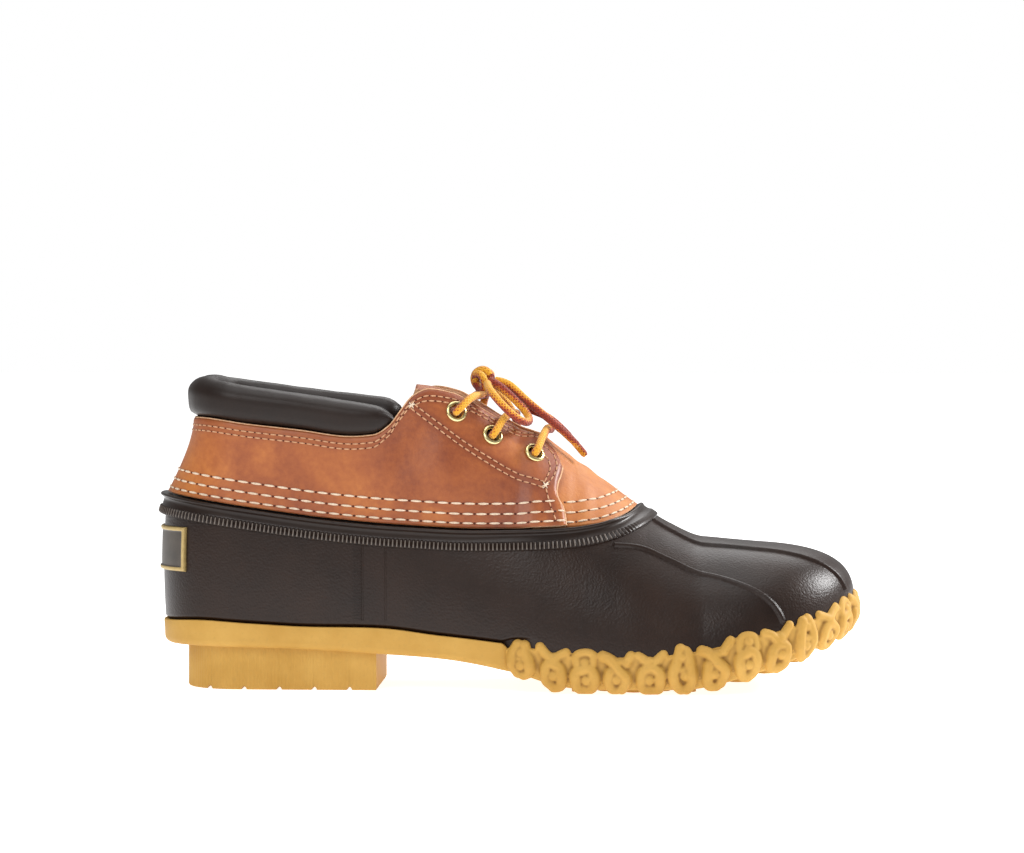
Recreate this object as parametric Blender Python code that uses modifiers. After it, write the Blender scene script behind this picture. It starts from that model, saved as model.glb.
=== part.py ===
"""Low duck boot, right foot, standing empty on its sole.

The boot is a moulded rubber bottom on a chain-tread gum sole, with a stitched leather upper, a
padded collar, a tongue, six eyelets and a lace. Every piece takes its shape from one last: rays
run outwards from a spine (a fan at the heel, parallel rays along the foot, a fan at the toe), and
each ray carries an arch from the sole's edge to the crown. Lines along the boot, such as the rim
and the topline, are heights in side view, and a piece ends where its line cuts the last.

Metres. +X to the toe, +Y to the medial side, +Z up. The origin is on the floor, on the heel's ground
face, midway between its third and fourth grooves. Lengths named "at" are counted from the back of
the heel.
"""

import math

import bmesh
import bpy
import numpy as np
from mathutils import Vector

# Driving sizes of the last
SHOE_LENGTH = 0.300
BALL_WIDTH = 0.104
TOE_HEIGHT = 0.0614
INSTEP_HEIGHT = 0.126
RIM_HEIGHT = 0.0817
TOPLINE_HEIGHT = 0.1155
COLLAR_HEIGHT = 0.133
HEEL_LIFT = 0.0185
TOE_SPRING = 0.0245
BACK_LEAN = 0.0125
SIDE_LEAN = 0.0035
SIDE_BULGE = 0.0012

# Where pieces start and end along the boot, as shares of SHOE_LENGTH
HEEL_END = 0.3090
PAD_FRONT = 0.3350
TONGUE_START = 0.3517
CHAIN_START = 0.4933
OVERLAP_START = 0.5067
VAMP_START = 0.5400
QUARTER_END = 0.5717
TONGUE_END = 0.5767
TREAD_END = 0.9650

# Sole
SLAB_THICKNESS = 0.0042
LUG_DEPTH = 0.0022
SIDE_HEIGHT = 0.020
BAND_STANDS = 0.0008
BAND_ROUND = 0.0030
BAND_TUCK = 0.0100
BAND_DRAFT = 0.0002
HEEL_START = 0.0100
HEEL_SIDE_INSET = 0.0040
HEEL_CHAMFER = 0.0012
HEEL_GROOVE_WIDTH = 0.0020
HEEL_GROOVE_DEPTH = 0.0013
HEEL_GROOVE_PITCH = 0.0150
CHAIN_STANDS = 0.0036
CHAIN_VALLEY = 0.0012
CHAIN_SCALLOP = 0.0022
CHAIN_TUCK = 0.0060
CHAIN_ROUND = 0.0016
CHAIN_FOOT = 0.0022
CHAIN_FOOT_SWELL = 0.0012
LINK_PITCH = 0.0137
LINK_PHASES = (0.0, 0.32, 0.68)
LUG_PITCH = 0.0220
LUG_RADIUS = 0.0068
LUG_MARGIN = 0.0100
LUG_FLARE = 0.0008
LUG_ROOT = 0.0010
FIRST_LUG = 0.0120
UNDER_ROUND = 0.0012

# Walls and what stands on them
FIT_GAP = 0.0003
SHELL_WALL = 0.0016
SHELL_REBATE = 0.0017
REBATE_BLEND = 0.0012
REBATE_CLEAR = 0.0015
FLANGE_HEIGHT = 0.0180
FLANGE_INSET = 0.0027
RIM_GAP = 0.0012
RIM_SHOULDER = 0.0060
RIM_SHELF = 0.0005
LIP_STANDS = 0.0024
LIP_THICKNESS = 0.0014
CHANNEL_HEIGHT = 0.0038
CHANNEL_STANDS = 0.0004
CHANNEL_DRAFT = 0.0006
KNURL_HEIGHT = 0.0036
KNURL_STANDS = 0.0011
KNURL_EASE = 0.0003
RIB_HEIGHT = 0.0011
RIB_WIDTH = 0.0024
RIB_STEPS = 10
LEATHER_WALL = 0.0018
VAMP_WALL = 0.0014
VAMP_INSET = 0.0006
OVERLAP_LIFT = 0.0017
OVERLAP_BLEND = 0.0080
TONGUE_WALL = 0.0022
TONGUE_ROUND = 0.0300
TONGUE_CLEARANCE = 0.0034
TONGUE_TOP = 0.1300
TONGUE_DEPTH = 0.0030
TONGUE_DIP = 0.0120
TONGUE_DIP_BLEND = 0.0100
INSOLE_THICKNESS = 0.0040
INSOLE_SEAT = 0.0006
INSOLE_CLEARANCE = 0.0006
PAD_BULGE = 0.0026
PAD_THICKNESS = 0.0110
PAD_TUCK = 0.0085
PAD_GAP = 0.0008
PAD_LEAST = 0.0040
PAD_FULL = 0.0160
PAD_CREASE = 0.0005

# Eyelets, lace and badge
EYELET_RADIUS = 0.0047
EYELET_BORE = 0.0027
EYELET_BARREL = 0.0032
EYELET_DOME = 0.0010
EYELET_ROLL = 0.0005
EYELET_TURNS = 10
HOLE_DEPTH = 0.0100
LACE_DIAMETER = 0.0034
LACE_GAP = 0.0009
MOUTH_GAP = 0.0014
LACE_STEP = 0.0060
BAR_LEAN = (0.0100, 0.0080, 0.0046)
BAR_RISE = 0.0006
KNOT_SIZE = (0.0110, 0.0120, 0.0100)
BADGE_SPREAD = 0.56
BADGE_HEIGHT = 0.0190
BADGE_TOP = 0.0690
BADGE_FIELD = 0.0008
BADGE_FRAME = 0.0015
BADGE_BORDER = 0.0022

# Plan and arch of the last. at: share of SHOE_LENGTH. lateral, medial and crown: shares of
# BALL_WIDTH, from the heel's centre line. rise: 0 is TOE_HEIGHT, 1 is INSTEP_HEIGHT.
SECTIONS = (
    # at, lateral, medial, crown, rise, power of the arch
    (0.120, 0.341, 0.332, 0.000, 10.0, 2.00),
    (0.200, 0.346, 0.332, 0.000, 10.0, 2.00),
    (0.283, 0.351, 0.322, 0.000, 8.00, 2.00),
    (0.340, 0.362, 0.320, 0.003, 3.20, 2.00),
    (0.373, 0.372, 0.325, 0.008, 2.00, 2.00),
    (0.407, 0.388, 0.334, 0.018, 1.50, 2.00),
    (0.440, 0.404, 0.346, 0.030, 1.22, 2.00),
    (0.477, 0.422, 0.364, 0.044, 1.00, 2.00),
    (0.543, 0.456, 0.404, 0.062, 0.72, 2.00),
    (0.593, 0.476, 0.440, 0.076, 0.54, 2.00),
    (0.637, 0.488, 0.466, 0.088, 0.39, 2.02),
    (0.680, 0.495, 0.488, 0.096, 0.245, 2.05),
    (0.723, 0.494, 0.504, 0.102, 0.12, 2.08),
    (0.770, 0.484, 0.512, 0.106, 0.030, 2.12),
    (0.860, 0.440, 0.500, 0.106, 0.000, 2.15),
    (1.000, 0.300, 0.300, 0.106, 0.000, 2.15),
)

# The underside. lift: share of HEEL_LIFT. spring: share of TOE_SPRING. side: how far the sole
# stands up the wall, share of SIDE_HEIGHT. tread: 1 where lugs stand below the slab.
UNDERSIDE = (
    # at, lift, spring, side, tread
    (0.000, 1.00, 0.000, 0.500, 0.0),
    (0.060, 1.00, 0.000, 0.560, 0.0),
    (0.130, 0.98, 0.000, 0.520, 0.0),
    (0.203, 0.95, 0.000, 0.490, 0.0),
    (0.323, 0.84, 0.000, 0.560, 0.0),
    (0.400, 0.76, 0.000, 0.500, 0.0),
    (0.485, 0.54, 0.000, 0.570, 0.0),
    (0.505, 0.42, 0.000, 0.740, 0.5),
    (0.535, 0.22, 0.000, 0.910, 1.0),
    (0.575, 0.05, 0.000, 0.955, 1.0),
    (0.610, 0.00, 0.000, 0.955, 1.0),
    (0.697, 0.00, 0.000, 0.955, 1.0),
    (0.750, 0.00, 0.012, 1.045, 1.0),
    (0.800, 0.00, 0.120, 1.055, 1.0),
    (0.837, 0.00, 0.250, 1.035, 1.0),
    (0.887, 0.00, 0.420, 1.015, 1.0),
    (0.920, 0.00, 0.590, 0.945, 1.0),
    (0.963, 0.00, 0.820, 0.905, 1.0),
    (0.990, 0.00, 1.000, 0.825, 1.0),
)

# Lines of the upper in side view. rim: share of RIM_HEIGHT.
RIM_LINE = (
    # at, rim
    (0.000, 1.010),
    (0.021, 1.000),
    (0.132, 0.939),
    (0.245, 0.884),
    (0.343, 0.853),
    (0.457, 0.834),
    (0.540, 0.836),
    (0.583, 0.842),
    (0.617, 0.856),
    (0.650, 0.888),
    (0.680, 0.945),
    (0.720, 1.100),
    (0.800, 1.500),
)

# The leather's upper edge, back to front, and the collar's top. Both are shares of
# TOPLINE_HEIGHT and COLLAR_HEIGHT.
TOPLINE = (
    # at, edge
    (0.000, 0.990),
    (0.053, 0.998),
    (0.130, 0.975),
    (0.200, 0.955),
    (0.273, 0.932),
    (0.305, 0.938),
    (0.329, 0.975),
    (0.345, 1.030),
    (0.362, 1.083),
    (0.383, 1.107),
    (0.417, 1.092),
    (0.440, 1.062),
    (0.482, 0.996),
    (0.540, 0.912),
    (0.557, 0.868),
    (0.572, 0.790),
)
COLLAR_TOP = (
    # at, lateral, medial
    (0.000, 1.000, 1.000),
    (0.045, 1.000, 1.000),
    (0.073, 0.989, 0.992),
    (0.139, 0.967, 0.972),
    (0.215, 0.944, 0.952),
    (0.292, 0.917, 0.932),
    (0.333, 0.897, 0.922),
)
TONGUE_CROWN = (
    # at, crown as a share of TONGUE_TOP
    (0.350, 1.000),
    (0.377, 0.992),
    (0.427, 0.950),
    (0.478, 0.896),
    (0.520, 0.826),
    (0.543, 0.776),
    (0.577, 0.706),
)

# Eyelets from the instep down: along the boot, and how far below the throat's edge.
EYELETS = (
    # at, below the edge
    (0.4213, 0.0082),
    (0.4723, 0.0108),
    (0.5290, 0.0135),
)

# Ribs of the rubber toe, from the rim to the tread: at (share of SHOE_LENGTH) and across (share
# of BALL_WIDTH, from the heel's centre line, lateral side negative).
RIBS = {
    "lateral": ((0.645, -0.325), (0.700, -0.285), (0.770, -0.305), (0.830, -0.355), (0.884, -0.400)),
    "centre": ((0.699, -0.010), (0.740, -0.030), (0.800, -0.045), (0.880, -0.035), (0.980, 0.010)),
    "medial": ((0.650, 0.330), (0.710, 0.310), (0.780, 0.345), (0.840, 0.380), (0.895, 0.410)),
}

# Laces from the knot: the upper and lower free ends, and the two loops, which run back to the knot.
LACE_ROUTES = {
    "lace_end_upper": (
        # at, across, height
        (0.1475, -0.0030, 0.1300),
        (0.1535, -0.0040, 0.1240),
        (0.1600, -0.0052, 0.1186),
        (0.1680, -0.0065, 0.1120),
        (0.1778, -0.0080, 0.1030),
    ),
    "lace_end_lower": (
        (0.1460, 0.0030, 0.1265),
        (0.1545, 0.0020, 0.1190),
        (0.1640, 0.0010, 0.1156),
        (0.1730, 0.0000, 0.1075),
        (0.1808, -0.0010, 0.0985),
    ),
    "lace_loop_near": (
        (0.1425, -0.0068, 0.1298),
        (0.1475, -0.0061, 0.1256),
        (0.1529, -0.0060, 0.1203),
        (0.1565, -0.0080, 0.1160),
        (0.1572, -0.0128, 0.1131),
        (0.1544, -0.0182, 0.1135),
        (0.1498, -0.0204, 0.1169),
        (0.1457, -0.0205, 0.1209),
        (0.1424, -0.0183, 0.1245),
        (0.1400, -0.0140, 0.1272),
    ),
    "lace_loop_far": (
        (0.1400, 0.0095, 0.1278),
        (0.1434, 0.0165, 0.1242),
        (0.1472, 0.0230, 0.1190),
        (0.1501, 0.0274, 0.1127),
        (0.1508, 0.0301, 0.1062),
        (0.1485, 0.0315, 0.1007),
        (0.1428, 0.0320, 0.0984),
        (0.1371, 0.0315, 0.1007),
        (0.1348, 0.0301, 0.1062),
        (0.1345, 0.0276, 0.1130),
        (0.1352, 0.0232, 0.1200),
        (0.1380, 0.0170, 0.1268),
    ),
}

FLOOR_SHARE = 0.58
CROWN_FALLS = 0.600
HEEL_SPINE = 0.120
TOE_SPINE = 0.770
HEEL_POWER = 2.25
LATERAL_TOE_POWER = 2.10
MEDIAL_TOE_POWER = 2.30
TIP_ARCH_POWER = 3.30
GROOVES_BEHIND_ORIGIN = 3
ORIGIN_FROM_BACK = HEEL_START + HEEL_GROOVE_PITCH * (GROOVES_BEHIND_ORIGIN + 0.25)
LATERAL, MEDIAL = -1, 1
HALF_TURN = math.pi / 2


def through(table, column, key=0):
    """A smooth line through one column of a table, which keeps flat stretches flat."""
    x = np.array([row[key] for row in table])
    y = np.array([row[column] for row in table])
    step = np.diff(y) / np.diff(x)
    slope = np.zeros(len(x))
    for i in range(1, len(x) - 1):
        if step[i - 1] * step[i] > 0:
            slope[i] = 2 * step[i - 1] * step[i] / (step[i - 1] + step[i])
    slope[0], slope[-1] = step[0], step[-1]

    def line(at):
        at = min(max(at, x[0]), x[-1])
        i = min(int(np.searchsorted(x, at, side="right")) - 1, len(x) - 2)
        i = max(i, 0)
        h = x[i + 1] - x[i]
        t = (at - x[i]) / h
        return (
            y[i] * (1 + 2 * t) * (1 - t) ** 2
            + y[i + 1] * t * t * (3 - 2 * t)
            + h * slope[i] * t * (1 - t) ** 2
            - h * slope[i + 1] * t * t * (1 - t)
        )

    return line


LATERAL_HALF = through(SECTIONS, 1)
MEDIAL_HALF = through(SECTIONS, 2)
CROWN = through(SECTIONS, 3)
RISE = through(SECTIONS, 4)
ARCH = through(SECTIONS, 5)
LIFT = through(UNDERSIDE, 1)
SPRING = through(UNDERSIDE, 2)
SIDE = through(UNDERSIDE, 3)
TREAD = through(UNDERSIDE, 4)
RIM = through(RIM_LINE, 1)
EDGE = through(TOPLINE, 1)
COLLAR = {LATERAL: through(COLLAR_TOP, 1), MEDIAL: through(COLLAR_TOP, 2)}
TONGUE = through(TONGUE_CROWN, 1)


def ease(share):
    share = min(max(share, 0.0), 1.0)
    return share * share * (3 - 2 * share)


def along(at):
    """Distance from the back of the heel, from a share of the boot's length."""
    return at * SHOE_LENGTH


def half_width(side, at):
    share = LATERAL_HALF(at) if side == LATERAL else MEDIAL_HALF(at)
    return share * BALL_WIDTH


def ridge_height(x):
    return TOE_HEIGHT + (INSTEP_HEIGHT - TOE_HEIGHT) * RISE(x / SHOE_LENGTH)


def ground_height(x):
    at = x / SHOE_LENGTH
    return HEEL_LIFT * LIFT(at) + TOE_SPRING * SPRING(at)


def slab_height(x):
    return ground_height(x) + LUG_DEPTH * TREAD(x / SHOE_LENGTH)


def floor_height(x):
    return slab_height(x) + SLAB_THICKNESS


def side_height(x):
    return ground_height(x) + SIDE_HEIGHT * SIDE(x / SHOE_LENGTH)


def rim_height(x):
    return RIM_HEIGHT * RIM(x / SHOE_LENGTH)


def edge_height(x):
    return TOPLINE_HEIGHT * EDGE(x / SHOE_LENGTH)


def collar_height(side, x):
    return COLLAR_HEIGHT * COLLAR[side](x / SHOE_LENGTH)


def floor_at(ray, reach):
    """The sole's floor along a ray: straight from its middle to a share of its reach, then to its edge."""
    knots = (0.0, ray.reach * FLOOR_SHARE, ray.reach)
    return float(np.interp(reach, knots, [floor_height(ray.plan(knot)[0]) for knot in knots]))


class Ray:
    """One ray of the last: place runs 0 to 1 round the heel, to 2 along the foot, to 3 round the toe."""

    def __init__(self, side, place):
        self.side, self.place = side, place
        heel_x, toe_x = along(HEEL_SPINE), along(TOE_SPINE)
        if place < 1:
            turn = place * HALF_TURN
            self.x, self.y = heel_x, 0.0
            self.dx, self.dy = -math.cos(turn), side * math.sin(turn)
            self.reach = round_reach(turn, heel_x, half_width(side, HEEL_SPINE), HEEL_POWER)
        elif place <= 2:
            self.x = heel_x + (toe_x - heel_x) * (place - 1)
            self.y = CROWN(self.x / SHOE_LENGTH) * BALL_WIDTH
            self.dx, self.dy = 0.0, float(side)
            self.reach = half_width(side, self.x / SHOE_LENGTH) - side * self.y
        else:
            turn = (3 - place) * HALF_TURN
            self.x, self.y = toe_x, CROWN(TOE_SPINE) * BALL_WIDTH
            self.dx, self.dy = math.cos(turn), side * math.sin(turn)
            power = LATERAL_TOE_POWER if side == LATERAL else MEDIAL_TOE_POWER
            wide = half_width(side, TOE_SPINE) - side * self.y
            self.reach = round_reach(turn, SHOE_LENGTH - CHAIN_STANDS - toe_x, wide, power)
        self.edge_x = self.x + self.reach * self.dx
        self.foot = floor_height(self.edge_x) + FIT_GAP
        self.power = ARCH(self.x / SHOE_LENGTH)
        if place > 2:
            self.power += (TIP_ARCH_POWER - self.power) * ease(place - 2)

    def plan(self, reach):
        return self.x + reach * self.dx, self.y + reach * self.dy

    def at_angle(self, angle):
        """(reach, height) of the last's surface, from the sole's edge at 0 to the crown at 90 degrees."""
        out = max(math.cos(angle), 0.0) ** (2 / self.power)
        up = math.sin(angle) ** (2 / self.power) if angle > 0 else angle
        reach = self.reach * out
        top = ridge_height(self.x + reach * max(self.dx, 0.0))
        height = self.foot + (top - self.foot) * up
        x = self.x + reach * self.dx
        wall = min(max((height - self.foot) / (rim_height(x) - self.foot), 0.0), 1.0)
        above = max((height - rim_height(x)) / (TOPLINE_HEIGHT - rim_height(x)), 0.0)
        bend = 1 - (1 - min(above, 1.0)) ** 1.5
        reach += out * (SIDE_BULGE * math.sin(math.pi * wall) - self.lean() * bend)
        return reach, height

    def lean(self):
        """How far the leather leans in over the heel and ankle."""
        if self.place < 1:
            return SIDE_LEAN + (BACK_LEAN - SIDE_LEAN) * math.cos(self.place * HALF_TURN) ** 2
        return SIDE_LEAN * (1 - ease((self.x / SHOE_LENGTH - 0.30) / 0.15))

    def surface(self, angle):
        reach, height = self.at_angle(angle)
        return Vector((*self.plan(reach), height))

    def angle_of(self, line, shift=0.0):
        """The angle at which the surface crosses a line of side view, or 90 degrees past its end."""

        def over(angle):
            reach, height = self.at_angle(angle)
            return height - line(self.x + reach * self.dx) - shift

        low, high = 0.0, HALF_TURN
        if over(high) < 0:
            return high
        if over(low) > 0:
            return low
        for _ in range(40):
            middle = (low + high) / 2
            if over(middle) > 0:
                high = middle
            else:
                low = middle
        return (low + high) / 2

    def angle_of_height(self, height):
        return self.angle_of(lambda x: height)


def round_reach(turn, along, across, power):
    """Polar radius of a rounded end that is along deep and across wide."""
    return (
        (abs(math.cos(turn)) / along) ** power + (abs(math.sin(turn)) / across) ** power
    ) ** (-1 / power)


def normal_at(ray, angle):
    """The last's outward normal, from its neighbours on the surface."""
    small = 1e-3
    if ray.place > 2 and angle > HALF_TURN - small:
        rise = (ridge_height(ray.x + small) - ridge_height(ray.x)) / small
        return Vector((-rise, 0, 1)).normalized()
    before, after = max(ray.place - small, 0.0), min(ray.place + small, 3.0)
    low, high = max(angle - small, 0.0), min(angle + small, HALF_TURN)
    along = Ray(ray.side, after).surface(angle) - Ray(ray.side, before).surface(angle)
    upward = ray.surface(high) - ray.surface(low)
    normal = along.cross(upward) * -ray.side
    if angle > HALF_TURN - small:
        normal.y = 0.0
    return normal.normalized()


def offset_point(ray, angle, out):
    """A point that stands out from the last, in the row's own frame."""
    point = ray.surface(angle) + normal_at(ray, angle) * out
    return Vector((point.x - ORIGIN_FROM_BACK, point.y, point.z))


def row_point(x, y, z):
    return Vector((x - ORIGIN_FROM_BACK, y, z))


def place_of(x):
    """The place of the parallel ray at this distance from the back of the heel."""
    return 1 + (x / SHOE_LENGTH - HEEL_SPINE) / (TOE_SPINE - HEEL_SPINE)


def crossing(line, shift=0.0):
    """Where a line of side view meets the crown in front of the instep."""
    low, high = along(CROWN_FALLS), along(TOE_SPINE)
    for _ in range(40):
        middle = (low + high) / 2
        if ridge_height(middle) > line(middle) + shift:
            low = middle
        else:
            high = middle
    return (low + high) / 2


STATION_GAP = 0.0130
BREAST = 0.0015
U_STEPS = 4
U_DEPTH = 0.012
HEEL_PLACES = [i / 5 for i in range(5)]
BODY_STATIONS = (0.120, 0.195, 0.270, 0.307, 0.335, 0.352, 0.380, 0.415, 0.455, 0.495, 0.540)
FRONT_STATIONS = (QUARTER_END, 0.603)
TOE_STATIONS = (0.705, 0.737, 0.770)
TOE_PLACES = [2 + i / 6 for i in range(1, 7)]


def front_stations(shift=0.0):
    """Distances from the back of the heel, closer together where the rim turns across the crown."""
    front = crossing(rim_height, shift)
    return [front - U_DEPTH * (i / U_STEPS) ** 2 for i in range(U_STEPS, -1, -1)]


def foot_places():
    """Places of the parallel rays."""
    stations = [along(at) for at in BODY_STATIONS + FRONT_STATIONS]
    stations += front_stations() + [along(at) for at in TOE_STATIONS]
    return [place_of(x) for x in stations]


def ring(places):
    """Rays all round: the lateral side from heel to toe, then the medial side back."""
    lateral = [Ray(LATERAL, place) for place in places]
    medial = [Ray(MEDIAL, place) for place in reversed(places)]
    first = 1 if places[-1] == 3 else 0
    last = -1 if places[0] == 0 else None
    return lateral + medial[first:last]


ALL_PLACES = HEEL_PLACES + foot_places() + TOE_PLACES


def new_object(name, mesh, material, collection):
    obj = bpy.data.objects.new(name, mesh)
    collection.objects.link(obj)
    if material:
        obj.data.materials.append(material)
    return obj


def loft(columns, closed):
    """A mesh through columns of points, as many in each, with coinciding points made one.

    Every quad is split along the same diagonal, so that the faces of neighbouring pieces stay parallel.
    """
    mesh = bmesh.new()
    verts = [[mesh.verts.new(point) for point in column] for column in columns]
    count = len(columns)
    for i in range(count if closed else count - 1):
        here, there = verts[i], verts[(i + 1) % count]
        for j in range(len(here) - 1):
            mesh.faces.new((here[j], there[j], there[j + 1], here[j + 1]))
    bmesh.ops.remove_doubles(mesh, verts=mesh.verts, dist=1e-5)
    bmesh.ops.triangulate(mesh, faces=mesh.faces, quad_method="FIXED")
    return mesh


def finished(mesh, name, smooth_angle=40):
    data = bpy.data.meshes.new(name)
    mesh.to_mesh(data)
    mesh.free()
    data.shade_smooth()
    data.set_sharp_from_angle(angle=math.radians(smooth_angle))
    return data


def solid(columns, name, closed=True):
    """A closed mesh from columns that each run round a closed section or from crown to crown."""
    mesh = loft(columns, closed)
    bmesh.ops.recalc_face_normals(mesh, faces=mesh.faces)
    return finished(mesh, name)


def wall(columns, name, material, collection, thickness, closed=True):
    """An open surface, facing out, given its thickness inwards by Solidify."""
    mesh = loft(columns, closed)
    outside = sum((face.normal.z * face.calc_area() for face in mesh.faces), 0.0)
    mesh.normal_update()
    middle = sum((vert.co for vert in mesh.verts), Vector()) / len(mesh.verts)
    facing = sum((face.calc_center_median() - middle).dot(face.normal) for face in mesh.faces)
    if facing + outside < 0:
        bmesh.ops.reverse_faces(mesh, faces=mesh.faces)
    obj = new_object(name, finished(mesh, name), material, collection)
    thicken = obj.modifiers.new("wall", "SOLIDIFY")
    thicken.thickness = thickness
    thicken.offset = -1
    thicken.use_even_offset = True
    return obj


def swept(path, outward, section, name, closed):
    """A closed mesh of one section carried along a path. section: (outwards, upwards)."""
    columns = []
    count = len(path)
    for i, (point, out) in enumerate(zip(path, outward)):
        before = path[(i - 1) % count] if closed or i > 0 else point
        after = path[(i + 1) % count] if closed or i < count - 1 else point
        tangent = (after - before).normalized()
        across = out.cross(tangent).normalized()
        columns.append([point + out * u + across * v for u, v in section + section[:1]])
    mesh = loft(columns, closed)
    if not closed:
        bmesh.ops.holes_fill(mesh, edges=[edge for edge in mesh.edges if edge.is_boundary])
    bmesh.ops.recalc_face_normals(mesh, faces=mesh.faces)
    return finished(mesh, name)


def add_boolean(obj, other, operation):
    modifier = obj.modifiers.new(other.name, "BOOLEAN")
    modifier.operation = operation
    modifier.object = other


def helper(name, mesh, collection):
    """A mesh that another object cuts with or takes in."""
    obj = new_object(name, mesh, None, collection)
    obj.hide_render = True
    obj.display_type = "WIRE"
    return obj


def material(name, colour, roughness, metallic=0.0):
    made = bpy.data.materials.new(name)
    made.use_nodes = True
    shader = made.node_tree.nodes["Principled BSDF"]
    shader.inputs["Base Color"].default_value = (*colour, 1.0)
    shader.inputs["Roughness"].default_value = roughness
    shader.inputs["Metallic"].default_value = metallic
    return made


def rebate(x):
    """How far the rubber steps in behind the smooth band. It runs out between two stations."""
    start, end = (along(at) for at in BODY_STATIONS[-2:])
    return SHELL_REBATE * min(max((end - x) / (end - start), 0.0), 1.0)


def shell_offset(x, height):
    """How far the rubber stands out of the last: it steps in behind the sole's band and the leather."""
    from_side = height - side_height(x)
    behind_band = rebate(x) * (1 - ease((from_side - FIT_GAP) / REBATE_BLEND))
    below_rim = rim_height(x) - height
    behind_leather = FLANGE_INSET * (1 - ease(below_rim / RIM_SHOULDER))
    return -max(behind_band, behind_leather)


def angles_behind_flange(ray, start):
    """Angles from a start at the rim up to the flange's top."""
    low, top = ray.angle_of(rim_height, start), ray.angle_of(rim_height, FLANGE_HEIGHT)
    return [low, (low + top) / 2, top]


def shell_point(ray, angle):
    reach, height = ray.at_angle(angle)
    return offset_point(ray, angle, shell_offset(ray.plan(reach)[0], height))


def rubber_shell(look, boot, helpers):
    """The moulded rubber bottom, open below, with the flange that the leather is sewn to."""
    columns = []
    for ray in ring(ALL_PLACES):
        seat = ray.angle_of(side_height, FIT_GAP)
        clear = ray.angle_of(side_height, FIT_GAP + REBATE_CLEAR)
        shoulder = ray.angle_of(rim_height, -RIM_SHOULDER)
        angles = [0.0, seat]
        angles += [clear + (shoulder - clear) * step / 3 for step in range(4)]
        angles += [ray.angle_of(rim_height, rise) for rise in (-RIM_SHELF, FLANGE_HEIGHT)]
        columns.append([shell_point(ray, angle) for angle in angles])
    shell = wall(columns, "rubber_shell", look, boot, SHELL_WALL)
    add_boolean(shell, helper("rim_profile", rim_mesh(), helpers), "UNION")
    for name in RIBS:
        add_boolean(shell, helper("rib_" + name, rib_mesh(name), helpers), "UNION")


def rim_path(shift):
    """Points and normals along the rim, once round, at a shift below or above it."""
    stations = [along(at) for at in BODY_STATIONS + FRONT_STATIONS] + front_stations(shift)
    places = HEEL_PLACES + [place_of(x) for x in stations]
    rays = [Ray(LATERAL, place) for place in places]
    rays += [Ray(MEDIAL, place) for place in places[-2:0:-1]]
    path, outward = [], []
    for ray in rays:
        angle = ray.angle_of(rim_height, shift)
        path.append(offset_point(ray, angle, 0.0))
        outward.append(normal_at(ray, angle))
    return path, outward


def rim_mesh():
    """The lip that the leather stands behind, the smooth channel under it and the knurled band."""
    path, outward = rim_path(0.0)
    channel_end = -LIP_THICKNESS - CHANNEL_HEIGHT
    knurl_end = channel_end - KNURL_HEIGHT
    root = -SHELL_WALL / 2
    section = [
        (root - FLANGE_INSET, 0.0),
        (LIP_STANDS, 0.0),
        (LIP_STANDS, -LIP_THICKNESS),
        (CHANNEL_STANDS, -LIP_THICKNESS - CHANNEL_DRAFT),
        (CHANNEL_STANDS, channel_end),
        (KNURL_STANDS, channel_end - KNURL_EASE),
        (KNURL_STANDS, knurl_end + KNURL_EASE),
        (root, knurl_end),
        (root, -RIM_SHOULDER),
    ]
    return swept(path, outward, section, "rim_profile", closed=True)


def ray_through(x, y):
    """The ray and angle of the last's surface above a point of the plan."""
    toe_x, toe_y = along(TOE_SPINE), CROWN(TOE_SPINE) * BALL_WIDTH
    if x <= toe_x:
        crown = CROWN(x / SHOE_LENGTH) * BALL_WIDTH
        side = LATERAL if y < crown else MEDIAL
        ray = Ray(side, place_of(x))
        reach = abs(y - crown)
    else:
        side = LATERAL if y < toe_y else MEDIAL
        turn = math.atan2(abs(y - toe_y), x - toe_x)
        ray = Ray(side, 3 - turn / HALF_TURN)
        reach = math.hypot(x - toe_x, y - toe_y)
    low, high = 0.0, HALF_TURN
    for _ in range(40):
        middle = (low + high) / 2
        if ray.at_angle(middle)[0] > reach:
            low = middle
        else:
            high = middle
    return ray, (low + high) / 2


def rib_mesh(name):
    """A raised rib of the rubber toe, carried along its line on the last."""
    across = through(RIBS[name], 1)
    first, last = RIBS[name][0][0], RIBS[name][-1][0]
    path, outward = [], []
    for i in range(RIB_STEPS + 1):
        share = 1 - (1 - i / RIB_STEPS) ** 1.6
        at = first + (last - first) * share
        ray, angle = ray_through(along(at), across(at) * BALL_WIDTH)
        angle = max(angle, ray.angle_of(side_height, 2 * FIT_GAP))
        path.append(offset_point(ray, angle, 0.0))
        outward.append(normal_at(ray, angle))
    half = RIB_WIDTH / 2
    root = -0.8 * SHELL_WALL
    section = [(root, -half), (RIB_HEIGHT, -half / 2.5), (RIB_HEIGHT, half / 2.5), (root, half)]
    return swept(path, outward, section, "rib_" + name, closed=False)


def quarter_offset(x):
    """The quarters ride up over the vamp's rear edge."""
    return OVERLAP_LIFT * ease((x - along(OVERLAP_START)) / OVERLAP_BLEND)


def quarters(look, boot, helpers):
    """Both leather quarters round the heel, open at the throat, with holes for the eyelets."""
    places = HEEL_PLACES + [place_of(along(at)) for at in BODY_STATIONS + FRONT_STATIONS[:1]]
    rays = [Ray(MEDIAL, place) for place in reversed(places)]
    rays += [Ray(LATERAL, place) for place in places[1:]]
    columns = []
    for ray in rays:
        low = angles_behind_flange(ray, RIM_GAP)
        top = ray.angle_of(edge_height)
        angles = low + [low[-1] + (top - low[-1]) * step / 3 for step in range(1, 4)]
        out = quarter_offset(ray.edge_x)
        columns.append([offset_point(ray, angle, out) for angle in angles])
    upper = wall(columns, "quarters", look, boot, LEATHER_WALL, closed=False)
    add_boolean(upper, helper("eyelet_holes", eyelet_holes(), helpers), "DIFFERENCE")


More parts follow.
